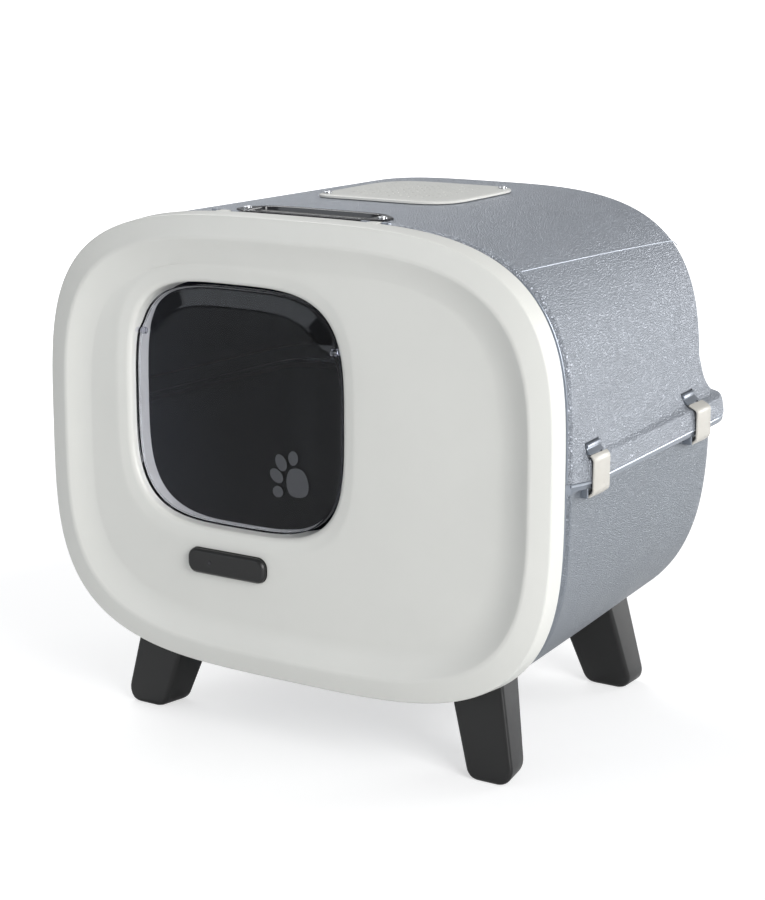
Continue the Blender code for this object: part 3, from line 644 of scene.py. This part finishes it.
def stations():
    """(distance behind the panel's edge, inset) of each ring, from the neck to the rear wall."""
    corners = [
        (BODY_FRONT, NECK + FRONT_LIP, 0),
        (BODY_FRONT, NECK, 0.0016),
        (CREASE - 0.0035, NECK, 0.0012),
        (CREASE, 0, 0.0022),
        (CREASE + 0.0070, 0, 0),
    ]
    rows = filleted(corners, 5)
    rows += [(back, 0.0) for back in spread(0.051, BODY_REAR - REAR_ROUND, 34)[:-1]]
    for i in range(13):
        turn = math.pi / 2 * i / 12
        inset = REAR_ROUND * (1 - math.cos(turn))
        rows.append((BODY_REAR - REAR_ROUND * (1 - math.sin(turn)), inset))
    return rows


def flare_share(flare, rise):
    """Share of the flange's outset at a distance from the seam."""
    for (low, first), (high, last) in zip(flare, flare[1:]):
        if rise <= high:
            return mix((first, last), (rise - low) / (high - low))
    return 0.0


def body_ring(upper, back, inset, grow=0.0):
    """One ring of the hood (upper) or of the base, with the flange swept outwards."""
    widths, heights = (HOOD_A, HOOD_B) if upper else (BASE_A, BASE_B)
    flare = HOOD_FLARE if upper else BASE_FLARE
    a = at_depth(widths, back) - inset + grow
    b = at_depth(heights, back) - inset + grow
    outset = flange_half_width(min(back, BODY_REAR)) - at_depth(widths, back)
    outset = max(outset - (0.0 if upper else FLANGE_STEP), 0.0)
    lean = 0.0 if upper else REAR_DRAFT * smooth(DRAFT_START, BODY_REAR, back)
    rearward = smooth(BODY_REAR - REAR_ROUND, BODY_REAR, back) * FLANGE_REAR
    ring = []
    for x, rise in arch(a, b, flare):
        amount = flare_share(flare, rise)
        y = depth(back) + rearward * amount - lean * (rise / BASE_B[0]) ** 2
        push = outset * amount * abs(x / a)
        z = SEAM_Z + (rise + SEAM_GAP / 2) * (1 if upper else -1)
        ring.append((x + math.copysign(push, x), y, z))
    return ring


def hood_top(x, back):
    """Height of the hood's outer face."""
    a, b = at_depth(HOOD_A, back), at_depth(HOOD_B, back)
    return SEAM_Z + SEAM_GAP / 2 + b * superellipse(abs(x / a))


def hood_side(back, rise):
    """X of the hood's outer side at a height above the seam."""
    a, b = at_depth(HOOD_A, back), at_depth(HOOD_B, back)
    wall = a * superellipse(rise / b)
    return wall + (flange_half_width(back) - a) * flare_share(HOOD_FLARE, rise)


def close_end(shape, row):
    """A wall of level strips across the end of an open shell."""
    last = len(row) - 1
    middle = last // 2
    for i in range(middle - 1):
        shape.faces.new((row[i + 1], row[i], row[last - i], row[last - i - 1]))
    shape.faces.new((row[middle], row[middle - 1], row[middle + 1]))


def shell(name, rings, front_wall):
    def build(shape):
        rows = rings_into(shape, rings, closed=False)
        close_end(shape, rows[-1])
        if front_wall:
            close_end(shape, rows[0][::-1])

    return thicken(mesh_object(name, build), WALL)


def finishes(target, surfaces, pick):
    """Gives each face the surface whose number pick returns for it."""
    for surface in surfaces:
        target.data.materials.append(surface.material)
    for face in target.data.polygons:
        face.material_index = pick(face)


def faces_inwards(face):
    """Whether a face of the hood or the tray looks into the box."""
    middle = Vector((0, depth(0.20), SEAM_Z))
    return face.normal.dot(middle - face.center) > 0


def conform(target):
    """Bends a flat piece, modelled on the plane z = 0, onto the hood's top face."""
    for vertex in target.data.vertices:
        vertex.co.z += hood_top(vertex.co.x, vertex.co.y - FRONT_Y)
    return target


def plan_plate(name, centre_back, rows):
    """A closed plate for the hood's top, lofted through rows of (outline, height)."""
    rings = [[(x, depth(centre_back) + y, height) for x, y in ring] for ring, height in rows]
    return loft(name, rings)


# ---------------------------------------------------------------- hood
def top_hole(name, points, back):
    """A cutter straight down through the hood's top."""
    return prism(name, points, 0.06, (0, depth(back), HINGE_Z), FLAT)


def make_hood():
    rings = [body_ring(True, back, inset) for back, inset in stations()]
    hood = shell("hood_skin", rings, False)
    cutters = [
        top_hole("handle_hole", well_outline(HANDLE_WALL + 0.0012, 64), HANDLE_Y),
        top_hole("vent_hole", outline(0, 0, VENT_HOLE_A, VENT_HOLE_A, 5, 64), VENT_Y),
    ]
    subtract(hood, cutters + pocket_cutters())

    def pick(face):
        # Faces looking into the box get the near-black surface, as painted shade.
        if faces_inwards(face):
            return 2
        return 1 if face.center.y < depth(NECK_END) else 0

    finishes(hood, (HOOD_GRAIN, HOOD_SMOOTH, INSIDE_SHADE), pick)
    piece(hood, "hood", "blue_grey_plastic", "hood_shell")


def make_shoulder_lines():
    """The thin raised line along each shoulder of the hood, lighter than the hood as a painted
    highlight.
    """
    start, end = SHOULDER_SPAN
    for name, side in SIDES.items():
        points = []
        for back in spread(CREASE + 0.0012, BODY_REAR - 0.012, 60):
            x = mix(SHOULDER, (back - start) / (end - start))
            past = max(back - BODY_REAR + REAR_ROUND, 0)
            inset = REAR_ROUND - math.sqrt(REAR_ROUND**2 - past**2)
            points.append((side * x, depth(back), hood_top(x, back) - inset * 0.9))
        line = bead(f"shoulder_line_{name}", points, 0.0005)
        piece(line, "hood", "blue_grey_plastic", surface=BEAD_HIGHLIGHT)


def hinge_lug(name, middle, ends, behind, rise):
    """A rounded block on a hinge pin, from its two ends, depths and heights."""
    low = (middle + ends[0], depth(behind[0]), HINGE_Z + rise[0])
    high = (middle + ends[1], depth(behind[1]), HINGE_Z + rise[1])
    return bevel(block(name, low, high), 0.0008)


def make_hinge_lugs():
    for name, side in SIDES.items():
        middle = side * HINGE_X
        for i, ends in enumerate(HOOD_LUGS):
            lug = hinge_lug(f"hood_lug_{name}_{i}", middle, ends, *HOOD_LUG_SECTION)
            piece(lug, "hood", "blue_grey_plastic", surface=HOOD_SMOOTH)
        lug = hinge_lug(f"panel_lug_{name}", middle, PANEL_LUG, *PANEL_LUG_SECTION)
        piece(lug, "panel", "cream_plastic")


# ---------------------------------------------------------------- tray
def tray_rings(grow=0.0):
    """Rings of the tray, without those of the lip that only the hood has at its front."""
    return [body_ring(False, back, inset, grow) for back, inset in stations()[LIP_RINGS:]]


def make_tray():
    tray = shell("tray_skin", tray_rings(), True)
    half = ENTRY_A + NOTCH_MARGIN
    low = (ENTRY_X - half, depth(BODY_FRONT) - 0.02, NOTCH_SILL)
    high = (ENTRY_X + half, depth(BODY_FRONT) + 0.012, SEAM_Z + 0.03)
    subtract(tray, [block("entry_notch", low, high)])
    lip_low = SEAM_Z - LIP_BASE_END

    def pick(face):
        # Faces looking into the box get the near-black surface, as painted shade.
        if faces_inwards(face):
            return 2
        return 1 if face.center.y < depth(NECK_END) or face.center.z > lip_low else 0

    finishes(tray, (TRAY_GRAIN, HOOD_SMOOTH, INSIDE_SHADE), pick)
    piece(tray, "base", "blue_grey_tray", "base_tray")


def make_rim_bead():
    """The polished edge of the tray's rim, just under the hood; its lighter colour is a painted
    highlight.
    """
    inwards, forwards, down = RIM_LINE
    path = []
    for back, inset in stations():
        if back >= CREASE:
            x, y, _ = body_ring(False, back, inset)[0]
            path.append((x - inwards, y - forwards, SEAM_Z - down))
    left = [(-x, y, z) for x, y, z in reversed(path)]
    line = bead("tray_rim_line", path + left, 0.0013)
    piece(line, "base", "blue_grey_tray", surface=BEAD_HIGHLIGHT)


# ---------------------------------------------------------------- legs
def corner_inset(z, radius):
    """How far a foot's rounded corner lies inside its side at a height."""
    share = max(1 - z / radius, 0)
    return radius * (1 - math.sqrt(1 - share * share))


def make_leg(name, side, foot, top, slant, envelope):
    """A tapered leg that leans outwards, with a rounded foot; its top is cut to the tray."""
    rings = []
    foot_levels = [FOOT_ROUND[1] * share**2 for share in spread(0, 1, 14)]
    for z in foot_levels + spread(0.026, 0.125, 6):
        middle_y, middle_x, width, thickness = (mix(pair, z / LEG_RISE) for pair in zip(foot, top))
        inner, outer = corner_inset(z, FOOT_ROUND[0]), corner_inset(z, FOOT_ROUND[1])
        half_d = thickness / 2 - corner_inset(z, FOOT_EDGE)
        ring = []
        for u, v in round_box((width - inner - outer) / 2, half_d, LEG_ROUND):
            x = middle_x + (inner - outer) / 2 + u - slant * v
            ring.append((side * x, depth(middle_y + v), z))
        rings.append(ring)
    leg = loft(f"foot_{name}", rings)
    cut = leg.modifiers.new("tray", "BOOLEAN")
    cut.object = envelope
    bake(leg)
    piece(leg, "base", "black_plastic", f"leg_{name}")


def make_legs():
    envelope = loft("tray_envelope", [ring[::-1] for ring in tray_rings(GAP)])
    for place, shape in LEGS.items():
        for side_name, side in SIDES.items():
            make_leg(f"{place}_{side_name}", side, *shape, envelope)
    bpy.data.objects.remove(envelope)


# ---------------------------------------------------------------- front panel
def panel_rings():
    """Rings from the skirt's rear edge over the rim, across the face and through the sleeve."""
    count = 240
    rim = filleted(
        [  # outset from the outline, distance behind the edge, rounding
            (0.0015, PANEL_SKIRT, 0),
            (0.0000, 0.0004, 0.0016),
            (-0.0185, -0.0038, 0.0022),
            (-0.0212, -0.0036, 0.0022),
            (-0.0300, 0.0010, 0.0050),
            (-0.0430, FACE_BACK, 0),
        ],
        6,
    )
    rings = []
    for outset, back in rim:
        ring = outline(0, PANEL_Z, PANEL_A + outset, PANEL_B + outset, PANEL_POWER, count)
        rings.append(facing_ring(ring, back))
    face = rings[-1]
    edge = entry_outline(MOUTH_EDGE, count)
    for share in spread(0.08, 0.92, 10):
        back = FACE_BACK + FACE_DISH * math.sin(share * math.pi / 2)
        ring = [(mix((a, c), share), mix((b, d), share)) for (a, _, b), (c, d) in zip(face, edge)]
        rings.append(facing_ring(ring, back))
    mouth = filleted(
        [
            (MOUTH_EDGE, FACE_BACK + FACE_DISH, 0),
            (0.0130, 0.0066, 0.0030),
            (0.0030, 0.0084, 0.0030),
            (0.0000, 0.0110, 0.0022),
            (-0.0010, TUNNEL_BACK, 0),
        ],
        5,
    )
    for outset, back in mouth:
        rings.append(facing_ring(entry_outline(outset, count), back))
    return rings


def make_panel():
    panel = mesh_object("panel_face", lambda shape: rings_into(shape, panel_rings()))
    thicken(panel, WALL)
    place = (LATCH_X, depth(0.004), LATCH_Z)
    subtract(panel, [prism("button_hole", button_outline(LATCH_GAP), 0.03, place, FACING)])
    piece(panel, "panel", "cream_plastic", "front_panel")


# ---------------------------------------------------------------- flap
def flap_lean(x, z):
    """How far the flap's upper border leans back, outside a crease that follows its outline."""
    u, v = abs(x - ENTRY_X) / FLAP_A, abs(z - ENTRY_Z) / FLAP_B
    reach = (u**ENTRY_POWER + v**ENTRY_POWER) ** (1 / ENTRY_POWER)
    border = max(reach - FLAP_CREASE, 0) / (1 - FLAP_CREASE)
    return FLAP_LEAN * border * smooth(FLAP_HINGE_Z - 0.002, FLAP_HINGE_Z + 0.010, z)


def make_flap():
    sheet = [(scale, 0.0) for scale in spread(0.04, 0.80, 12) + spread(0.82, 0.96, 8)]
    sheet += [(0.975, 0.0), (0.985, 0.0004), (0.992, 0.0011), (1.0, 0.0009)]  # scale, rim
    rings = []
    for side, rows in ((-1, sheet), (1, sheet[::-1])):
        for scale, rim in rows:
            ring = outline(ENTRY_X, ENTRY_Z, FLAP_A * scale, FLAP_B * scale, ENTRY_POWER, 160)
            y = depth(FLAP_DEPTH) + side * (FLAP_SHEET / 2 + rim)
            rings.append([(x, y + flap_lean(x, z), z) for x, z in ring])
    flap = loft("flap_sheet", rings)
    piece(flap, "flap", "smoked_clear", "entry_flap", angle=50)
    for name, side in SIDES.items():
        start = (ENTRY_X + side * FLAP_PIN, depth(FLAP_DEPTH), FLAP_HINGE_Z)
        profile = [(0, 0.001), (0.0005, 0.0032), (0.0050, 0.0035), (0.0060, 0.0025)]
        profile += [(0.0130, 0.0025), (0.0134, 0.0021), (0.0135, 0.001)]
        pin = turned(f"flap_stub_{name}", start, (side, 0, 0), profile)
        piece(pin, "flap", "smoked_clear")


PAW = {  # middle and half-sizes of each print, and its turn
    "pad": ((0.0, 0.0), (0.0120, 0.0145), 0.12),
    "toe_a": ((-0.0044, 0.0223), (0.0054, 0.0068), -0.10),
    "toe_b": ((-0.0177, 0.0167), (0.0058, 0.0082), 0.50),
    "toe_c": ((-0.0229, 0.0039), (0.0058, 0.0080), 0.95),
    "toe_d": ((-0.0214, -0.0107), (0.0058, 0.0054), 0.0),
}
PAW_PLACE = (0.0049, 0.2554)


def paw_outline(key):
    (u, v), (half_w, half_h), tilt = PAW[key]
    cos, sin = math.cos(tilt), math.sin(tilt)
    points = []
    for i in range(48):
        turn = 2 * math.pi * i / 48
        x, y = half_w * math.cos(turn), half_h * math.sin(turn)
        if key == "pad":
            x *= 1 + 0.10 * math.sin(-turn)
            y -= 0.0009 * math.cos(3 * turn + math.pi / 2)
        points.append((u + x * cos - y * sin, v + x * sin + y * cos))
    return points


def make_paw():
    """Frosted paw print on the flap's front, as thin raised shapes."""
    front = depth(FLAP_DEPTH) - FLAP_SHEET / 2

    def build(shape):
        for key in PAW:
            middle = Vector(PAW[key][0])
            rows = []
            for shrink, lift in ((1.0, 0.00002), (0.985, 0.00015), (0.6, 0.00018)):
                row = []
                for point in paw_outline(key):
                    x, z = middle + (Vector(point) - middle) * shrink
                    row.append((PAW_PLACE[0] + x, front - lift, PAW_PLACE[1] + z))
                rows.append(row)
            body_into(shape, rows)

    paw = mesh_object("flap_paw_print", build)
    piece(paw, "flap", "smoked_clear", surface=FROST)


# ---------------------------------------------------------------- latch
def make_button():
    """Push button: a bar with a broad chamfer and a slightly hollow face."""
    profile = filleted(
        [
            (0.0, LATCH_BACK, 0),
            (0.0, 0.0028, 0.0008),
            (-0.0022, 0.0006, 0.0009),
            (-0.0070, 0.0010, 0),
        ],
        4,
    )
    rings = []
    for outset, back in profile:
        ring = button_outline(outset)
        rings.append([(LATCH_X + x, depth(back), LATCH_Z + z) for x, z in ring])
    button = loft("latch_bar", rings)
    piece(button, "latch_button", "black_plastic", "latch_button")
    start = (LATCH_X + LATCH_DOT, depth(0.0015), LATCH_Z)
    profile = [(0, 0.002), (0.0007, 0.0023), (0.0010, 0.0020), (0.0009, 0.0006)]
    dot = turned("latch_dot", start, (0, -1, 0), profile)
    piece(dot, "latch_button", "black_plastic", surface=BLACK_GLOSS)


# ---------------------------------------------------------------- clips
def flange_out(back):
    """Half-width of the flange where it is widest under a clip."""
    return max(flange_half_width(back + share * CLIP_W / 2) for share in (-1, 0, 1))


def hood_side_out(back, rise):
    """Half-width of the hood where it is widest under a clip."""
    return max(hood_side(back + share * CLIP_W / 2, rise) for share in (-1, 0, 1))


def clip_pin(back):
    """The clip's inner face and its pin, as (face, pin x, pin z)."""
    face = flange_out(back) + CLIP_GAP
    return face, face - CLIP_PIN_IN, SEAM_Z - CLIP_PIN_DROP


def clip_path(back):
    """Middle of the clip's strip, from the curl round its pin to the hook over the hood."""
    face, pin_x, pin_z = clip_pin(back)
    path = []
    for turn in spread(160, 325, 14):
        angle = math.radians(turn)
        path.append((pin_x + CLIP_CURL * math.cos(angle), pin_z + CLIP_CURL * math.sin(angle)))
    outer = face + CLIP_SHEET / 2
    corners = [
        (outer - 0.0008, pin_z + 0.0012, 0),
        (outer, pin_z + 0.0036, 0.002),
        (outer, SEAM_Z + 0.0168, 0.0035),
        (hood_side_out(back, 0.0190) + 0.0038, SEAM_Z + 0.0196, 0.0014),
        (hood_side_out(back, 0.0208) + 0.0030, SEAM_Z + 0.0212, 0),
    ]
    return path + filleted(corners, 5)


def make_clip(name, side, back):
    """The strap: a curled strip whose long edges are rounded."""
    edge = [(0.0007, 0.0), (0.0002, 0.0003), (0.0, 0.0009)]  # inset of a ring, gap to the end
    path = clip_path(back)
    rings = []
    for end, rows in ((-1, edge), (1, edge[::-1])):
        for inset, short in rows:
            y = depth(back + end * (CLIP_W / 2 - short))
            rings.append([(side * x, y, z) for x, z in ribbon(path, CLIP_SHEET - 2 * inset)])
    clip = loft(f"strap_{name}", rings)
    piece(clip, f"clip_{name}", "clip_plastic", f"clip_{name}")


def side_strip(name, side, back, width, corners):
    """A body along the hood's side, through (rise, outset, rounding) at both ends of its width."""
    rings = []
    for here in (back - width / 2, back + width / 2):
        path = [(rise, hood_side(here, rise) + out, reach) for rise, out, reach in corners]
        rings.append([(side * x, depth(here), SEAM_Z + rise) for rise, x in filleted(path, 4)])
    return loft(name, rings)


def pocket_cutters():
    """Shallow recesses in the hood's flare, one behind each clip's catch."""
    low, high = POCKET
    corners = [(rise, -POCKET_SINK, 0) for rise in spread(low, high, 9)]
    corners += [(high, 0.02, 0), (low, 0.02, 0)]
    made = []
    for place, back in CLIP_YS.items():
        for side_name, side in SIDES.items():
            name = f"pocket_{place}_{side_name}"
            made.append(side_strip(name, side, back, CLIP_W + 0.0016, corners))
    return made


def make_catch(name, side, back):
    """Moulded wedge with a bar along its top, which the clip's hook snaps over."""
    corners = [
        (0.0215, -0.0018, 0),
        (0.0222, 0.0034, 0.0004),
        (0.0258, 0.0006, 0.0006),
        (0.0268, 0.0004, 0.0002),
        (0.0274, 0.0022, 0.0005),
        (0.0302, 0.0022, 0.0008),
        (0.0309, -0.0018, 0),
    ]
    lug = bevel(side_strip(f"lug_{name}", side, back, CLIP_W - 0.0008, corners), 0.0004)
    piece(lug, "hood", "blue_grey_plastic", f"clip_catch_{name}", surface=HOOD_SMOOTH)


def make_clip_lugs(name, side, back):
    """The two ears of the tray that hold the clip's pin."""
    _, pin_x, pin_z = clip_pin(back)
    xs = sorted((side * (pin_x - 0.0075), side * (pin_x + 0.0026)))
    for place, end in (("front", -1), ("rear", 1)):
        ys = sorted(depth(back + end * (CLIP_W / 2 + gap)) for gap in (0.0006, 0.0032))
        low, high = (xs[0], ys[0], pin_z - 0.0030), (xs[1], ys[1], pin_z + 0.0064)
        ear = bevel(block(f"ear_{name}_{place}", low, high), 0.0010, 4)
        piece(ear, "base", "blue_grey_tray", surface=HOOD_SMOOTH)


def make_clips():
    for place, back in CLIP_YS.items():
        for side_name, side in SIDES.items():
            name = f"{place}_{side_name}"
            make_clip(name, side, back)
            make_catch(name, side, back)
            make_clip_lugs(name, side, back)


# ---------------------------------------------------------------- handle
def make_handle_well():
    """Glossy tub let into the hood's top, with a bezel that narrows to its two screws."""
    top = 0.0018
    profile = [  # outline, margin, height
        (well_outline, HANDLE_WALL, -HANDLE_DEPTH),
        (well_outline, HANDLE_WALL, GAP),
        (bezel_outline, -0.0003, GAP),
        (bezel_outline, 0.0, GAP + 0.0003),
        (bezel_outline, 0.0, top - 0.0007),
        (bezel_outline, -0.0007, top),
        (well_outline, 0.0010, top),
        (well_outline, 0.0002, top - 0.0003),
        (well_outline, 0.0, top - 0.0012),
        (well_outline, -0.0008, 0.0035 - HANDLE_DEPTH),
        (well_outline, -0.0016, HANDLE_WALL - HANDLE_DEPTH),
    ]
    rows = [(shape(margin, 96), height) for shape, margin, height in profile]
    well = conform(plan_plate("handle_tub", HANDLE_Y, rows))
    piece(well, "hood", "black_gloss", "handle_well")


def make_bail():
    """The carry handle: two flat arms and a rounded grip."""
    level = hood_top(0, HANDLE_Y) - BAIL_SINK
    pivot = depth(BAIL_PIVOT_Y)
    reach = HANDLE_Y - BAIL_PIVOT_Y
    corners = [(-BAIL_REACH, 0, 0), (-BAIL_REACH, reach, 0.0060)]
    corners += [(BAIL_REACH, reach, 0.0060), (BAIL_REACH, 0, 0)]
    path = filleted(corners, 8)
    rings = []
    for i, (x, y) in enumerate(path):
        along = heading(path, i)
        thick = mix((BAIL_ARM, BAIL_GRIP), along.x**2)
        ring = []
        for u, v in round_box(thick / 2, BAIL_ARM / 2, 0.0022):
            ring.append((x - along.y * u, pivot + y + along.x * u, level + v))
        rings.append(ring)
    bail = loft("carry_bail", rings)
    piece(bail, "handle", "black_plastic", "carry_handle")
    for name, side in SIDES.items():
        start = (side * (BAIL_REACH - BAIL_ARM / 2), pivot, level)
        profile = [(0, 0.0028), (0.0005, 0.0034), (0.0050, 0.0034), (0.0055, 0.0028)]
        boss = turned(f"bail_boss_{name}", start, (side, 0, 0), profile)
        piece(boss, "handle", "black_plastic")


def make_cup_screw(part, label, body, x, back, lift):
    """A small screw head sunk in a bright cup washer."""
    base = (x, depth(back), hood_top(x, back) + lift - 0.0006)
    profile = filleted(
        [  # height, radius, rounding
            (0.0, CUP_RADIUS, 0),
            (0.0012, CUP_RADIUS, 0.0005),
            (0.0016, CUP_RADIUS - 0.0012, 0.0004),
            (0.0006, 0.0016, 0.0003),
            (0.0006, 0.0001, 0),
        ],
        3,
    )
    cup = turned(f"cup_{part}_{label}", base, (0, 0, 1), profile)
    piece(cup, body, "steel", f"{part}_screw_{label}")
    profile = [(0.0003, 0.0018), (0.0009, 0.0018), (0.0012, 0.0013), (0.0010, 0.0001)]
    head = turned(f"screw_{part}_{label}", base, (0, 0, 1), profile)
    piece(head, body, "steel", surface=BLACK)


# ---------------------------------------------------------------- vent
def make_vent():
    """Perforated cover with a flat border, in rows of small holes."""
    under = [(inset, GAP) for inset in spread(0.010, VENT_A - 0.004, 10)]
    border = [(0.004, GAP), (0.0004, 0.0006), (0.0, 0.0010)]
    border += [(0.0, 0.0026), (0.0004, 0.0031), (0.0012, 0.0034)]
    insets = spread(0.004, VENT_A - 0.004, 14)
    face = [(inset, 0.0036 + 0.0008 * smooth(0.0, 0.05, inset)) for inset in insets]
    rows = [(leaf(VENT_A - inset, 128), height) for inset, height in under[::-1] + border + face]
    cover = conform(plan_plate("vent_plate", VENT_Y, rows))

    def build(shape):
        for column in range(-4, 5):
            for row in range(-5, 6):
                x = column * VENT_PITCH[0]
                y = (row + column % 2 / 2) * VENT_PITCH[1]
                if (abs(x) / VENT_FIELD) ** 4 + (abs(y) / VENT_FIELD) ** 4 > 1:
                    continue
                place = Matrix.Translation((x, depth(VENT_Y) + y, 0.50))
                size = {"radius1": VENT_BORE, "radius2": VENT_BORE, "depth": 0.03}
                bmesh.ops.create_cone(shape, cap_ends=True, segments=10, matrix=place, **size)

    subtract(cover, [mesh_object("vent_perforation", build)])
    piece(cover, "vent", "cream_plastic", "vent_cover")


# ---------------------------------------------------------------- carried-over inner parts
def dress_nodes():
    """Gives every node that still shows the material of its slot."""
    for part in frame["record"]["subparts"]:
        node = frame["nodes"][part["node"]]
        if node.hide_render:
            continue
        surface = FINISHES[part["material_slot"]].material
        for slot in node.material_slots:
            slot.material = surface
        if not node.material_slots:
            node.data.materials.append(surface)


# ---------------------------------------------------------------- stage
def make_floor():
    """Pale floor, lifted towards white where the camera sees it, so that only shadows show."""

    def build(shape):
        bmesh.ops.create_circle(shape, cap_ends=True, segments=96, radius=40.0)

    floor = mesh_object("studio_floor", build)
    made = Shader("studio_floor", (0.86, 0.86, 0.86), 0.6)
    made.mottle(made.noise(0.8, 2.0), 0.01)
    made.skin.inputs["Specular IOR Level"].default_value = 0.1
    glow = made.node("ShaderNodeEmission")
    glow.inputs["Strength"].default_value = 1.75
    rays = made.node("ShaderNodeLightPath")
    reach = made.node("ShaderNodeVectorMath", operation="LENGTH")
    made.join(made.place, reach.inputs[0])
    far = made.ranged(reach.outputs["Value"], 0.6, 2.0, 0.33, 0.85)
    share = made.math("MULTIPLY", rays.outputs["Is Camera Ray"], far)
    made.blend(share, made.skin.outputs[0], glow.outputs[0])
    floor.data.materials.append(made.material)


def make_world():
    world = bpy.data.worlds.new("studio")
    bpy.context.scene.world = world
    world.use_nodes = True
    nodes, links = world.node_tree.nodes, world.node_tree.links
    seen, cast = nodes["Background"], nodes.new("ShaderNodeBackground")
    seen.inputs["Color"].default_value = (1, 1, 1, 1)
    seen.inputs["Strength"].default_value = 1.05
    cast.inputs["Color"].default_value = (0.95, 0.97, 1.0, 1)
    cast.inputs["Strength"].default_value = 0.32
    rays, blend = nodes.new("ShaderNodeLightPath"), nodes.new("ShaderNodeMixShader")
    links.new(rays.outputs["Is Camera Ray"], blend.inputs[0])
    links.new(cast.outputs[0], blend.inputs[1])
    links.new(seen.outputs[0], blend.inputs[2])
    links.new(blend.outputs[0], nodes["World Output"].inputs[0])


def make_light(name, place, target, size, power, colour=(1, 1, 1)):
    light = bpy.data.lights.new(name, "AREA")
    light.shape = "RECTANGLE"
    light.size, light.size_y = size
    light.energy = power
    light.color = colour
    made = bpy.data.objects.new(name, light)
    bpy.context.scene.collection.objects.link(made)
    made.location = place
    made.rotation_euler = (Vector(target) - Vector(place)).to_track_quat("-Z", "Y").to_euler()


def make_lights():
    make_light("key_box", (2.5, -1.3, 1.35), (0, 0, 0.28), (1.4, 1.8), 72)
    make_light("back_box", (1.75, 2.5, 0.65), (0, 0, 0.20), (1.4, 1.1), 36)
    make_light("top_box", (-1.5, 0.9, 2.3), (0, 0, 0.3), (1.6, 1.6), 29)
    make_light("front_box", (-1.6, -2.6, 1.1), (0, 0, 0.3), (1.2, 1.6), 10, (0.90, 0.95, 1.0))


def make_camera():
    camera = bpy.data.cameras.new("camera")
    camera.sensor_width = 36.0
    camera.lens = 84.82
    camera.shift_x = -0.0033
    camera.shift_y = -0.0023
    camera.clip_end = 200.0
    made = bpy.data.objects.new("camera", camera)
    bpy.context.scene.collection.objects.link(made)
    place, target = Vector((1.0603, -1.7117, 0.7166)), Vector((-0.01858, 0.0004, 0.24905))
    turn = (target - place).to_track_quat("-Z", "Y").to_matrix().to_4x4()
    made.matrix_world = Matrix.Translation(place) @ turn @ Matrix.Rotation(0.00307, 4, "Z")
    bpy.context.scene.camera = made
    bpy.context.scene.view_settings.view_transform = "Standard"


# ---------------------------------------------------------------- assembly
make_hood()
make_shoulder_lines()
make_hinge_lugs()
make_tray()
make_rim_bead()
make_legs()
make_panel()
make_flap()
make_paw()
make_button()
make_clips()
make_handle_well()
make_bail()
for side_label, sign in SIDES.items():
    make_cup_screw("handle", side_label, "hood", sign * HANDLE_SCREW_X, HANDLE_Y, 0.0022)
make_vent()
for place_label, sign in (("front", -1), ("rear", 1)):
    tip_x, tip_back = sign * VENT_TIP[0], VENT_Y + sign * VENT_TIP[1]
    make_cup_screw("vent", place_label, "vent", tip_x, tip_back, 0.0045)
dress_nodes()
make_floor()
make_world()
make_lights()
make_camera()
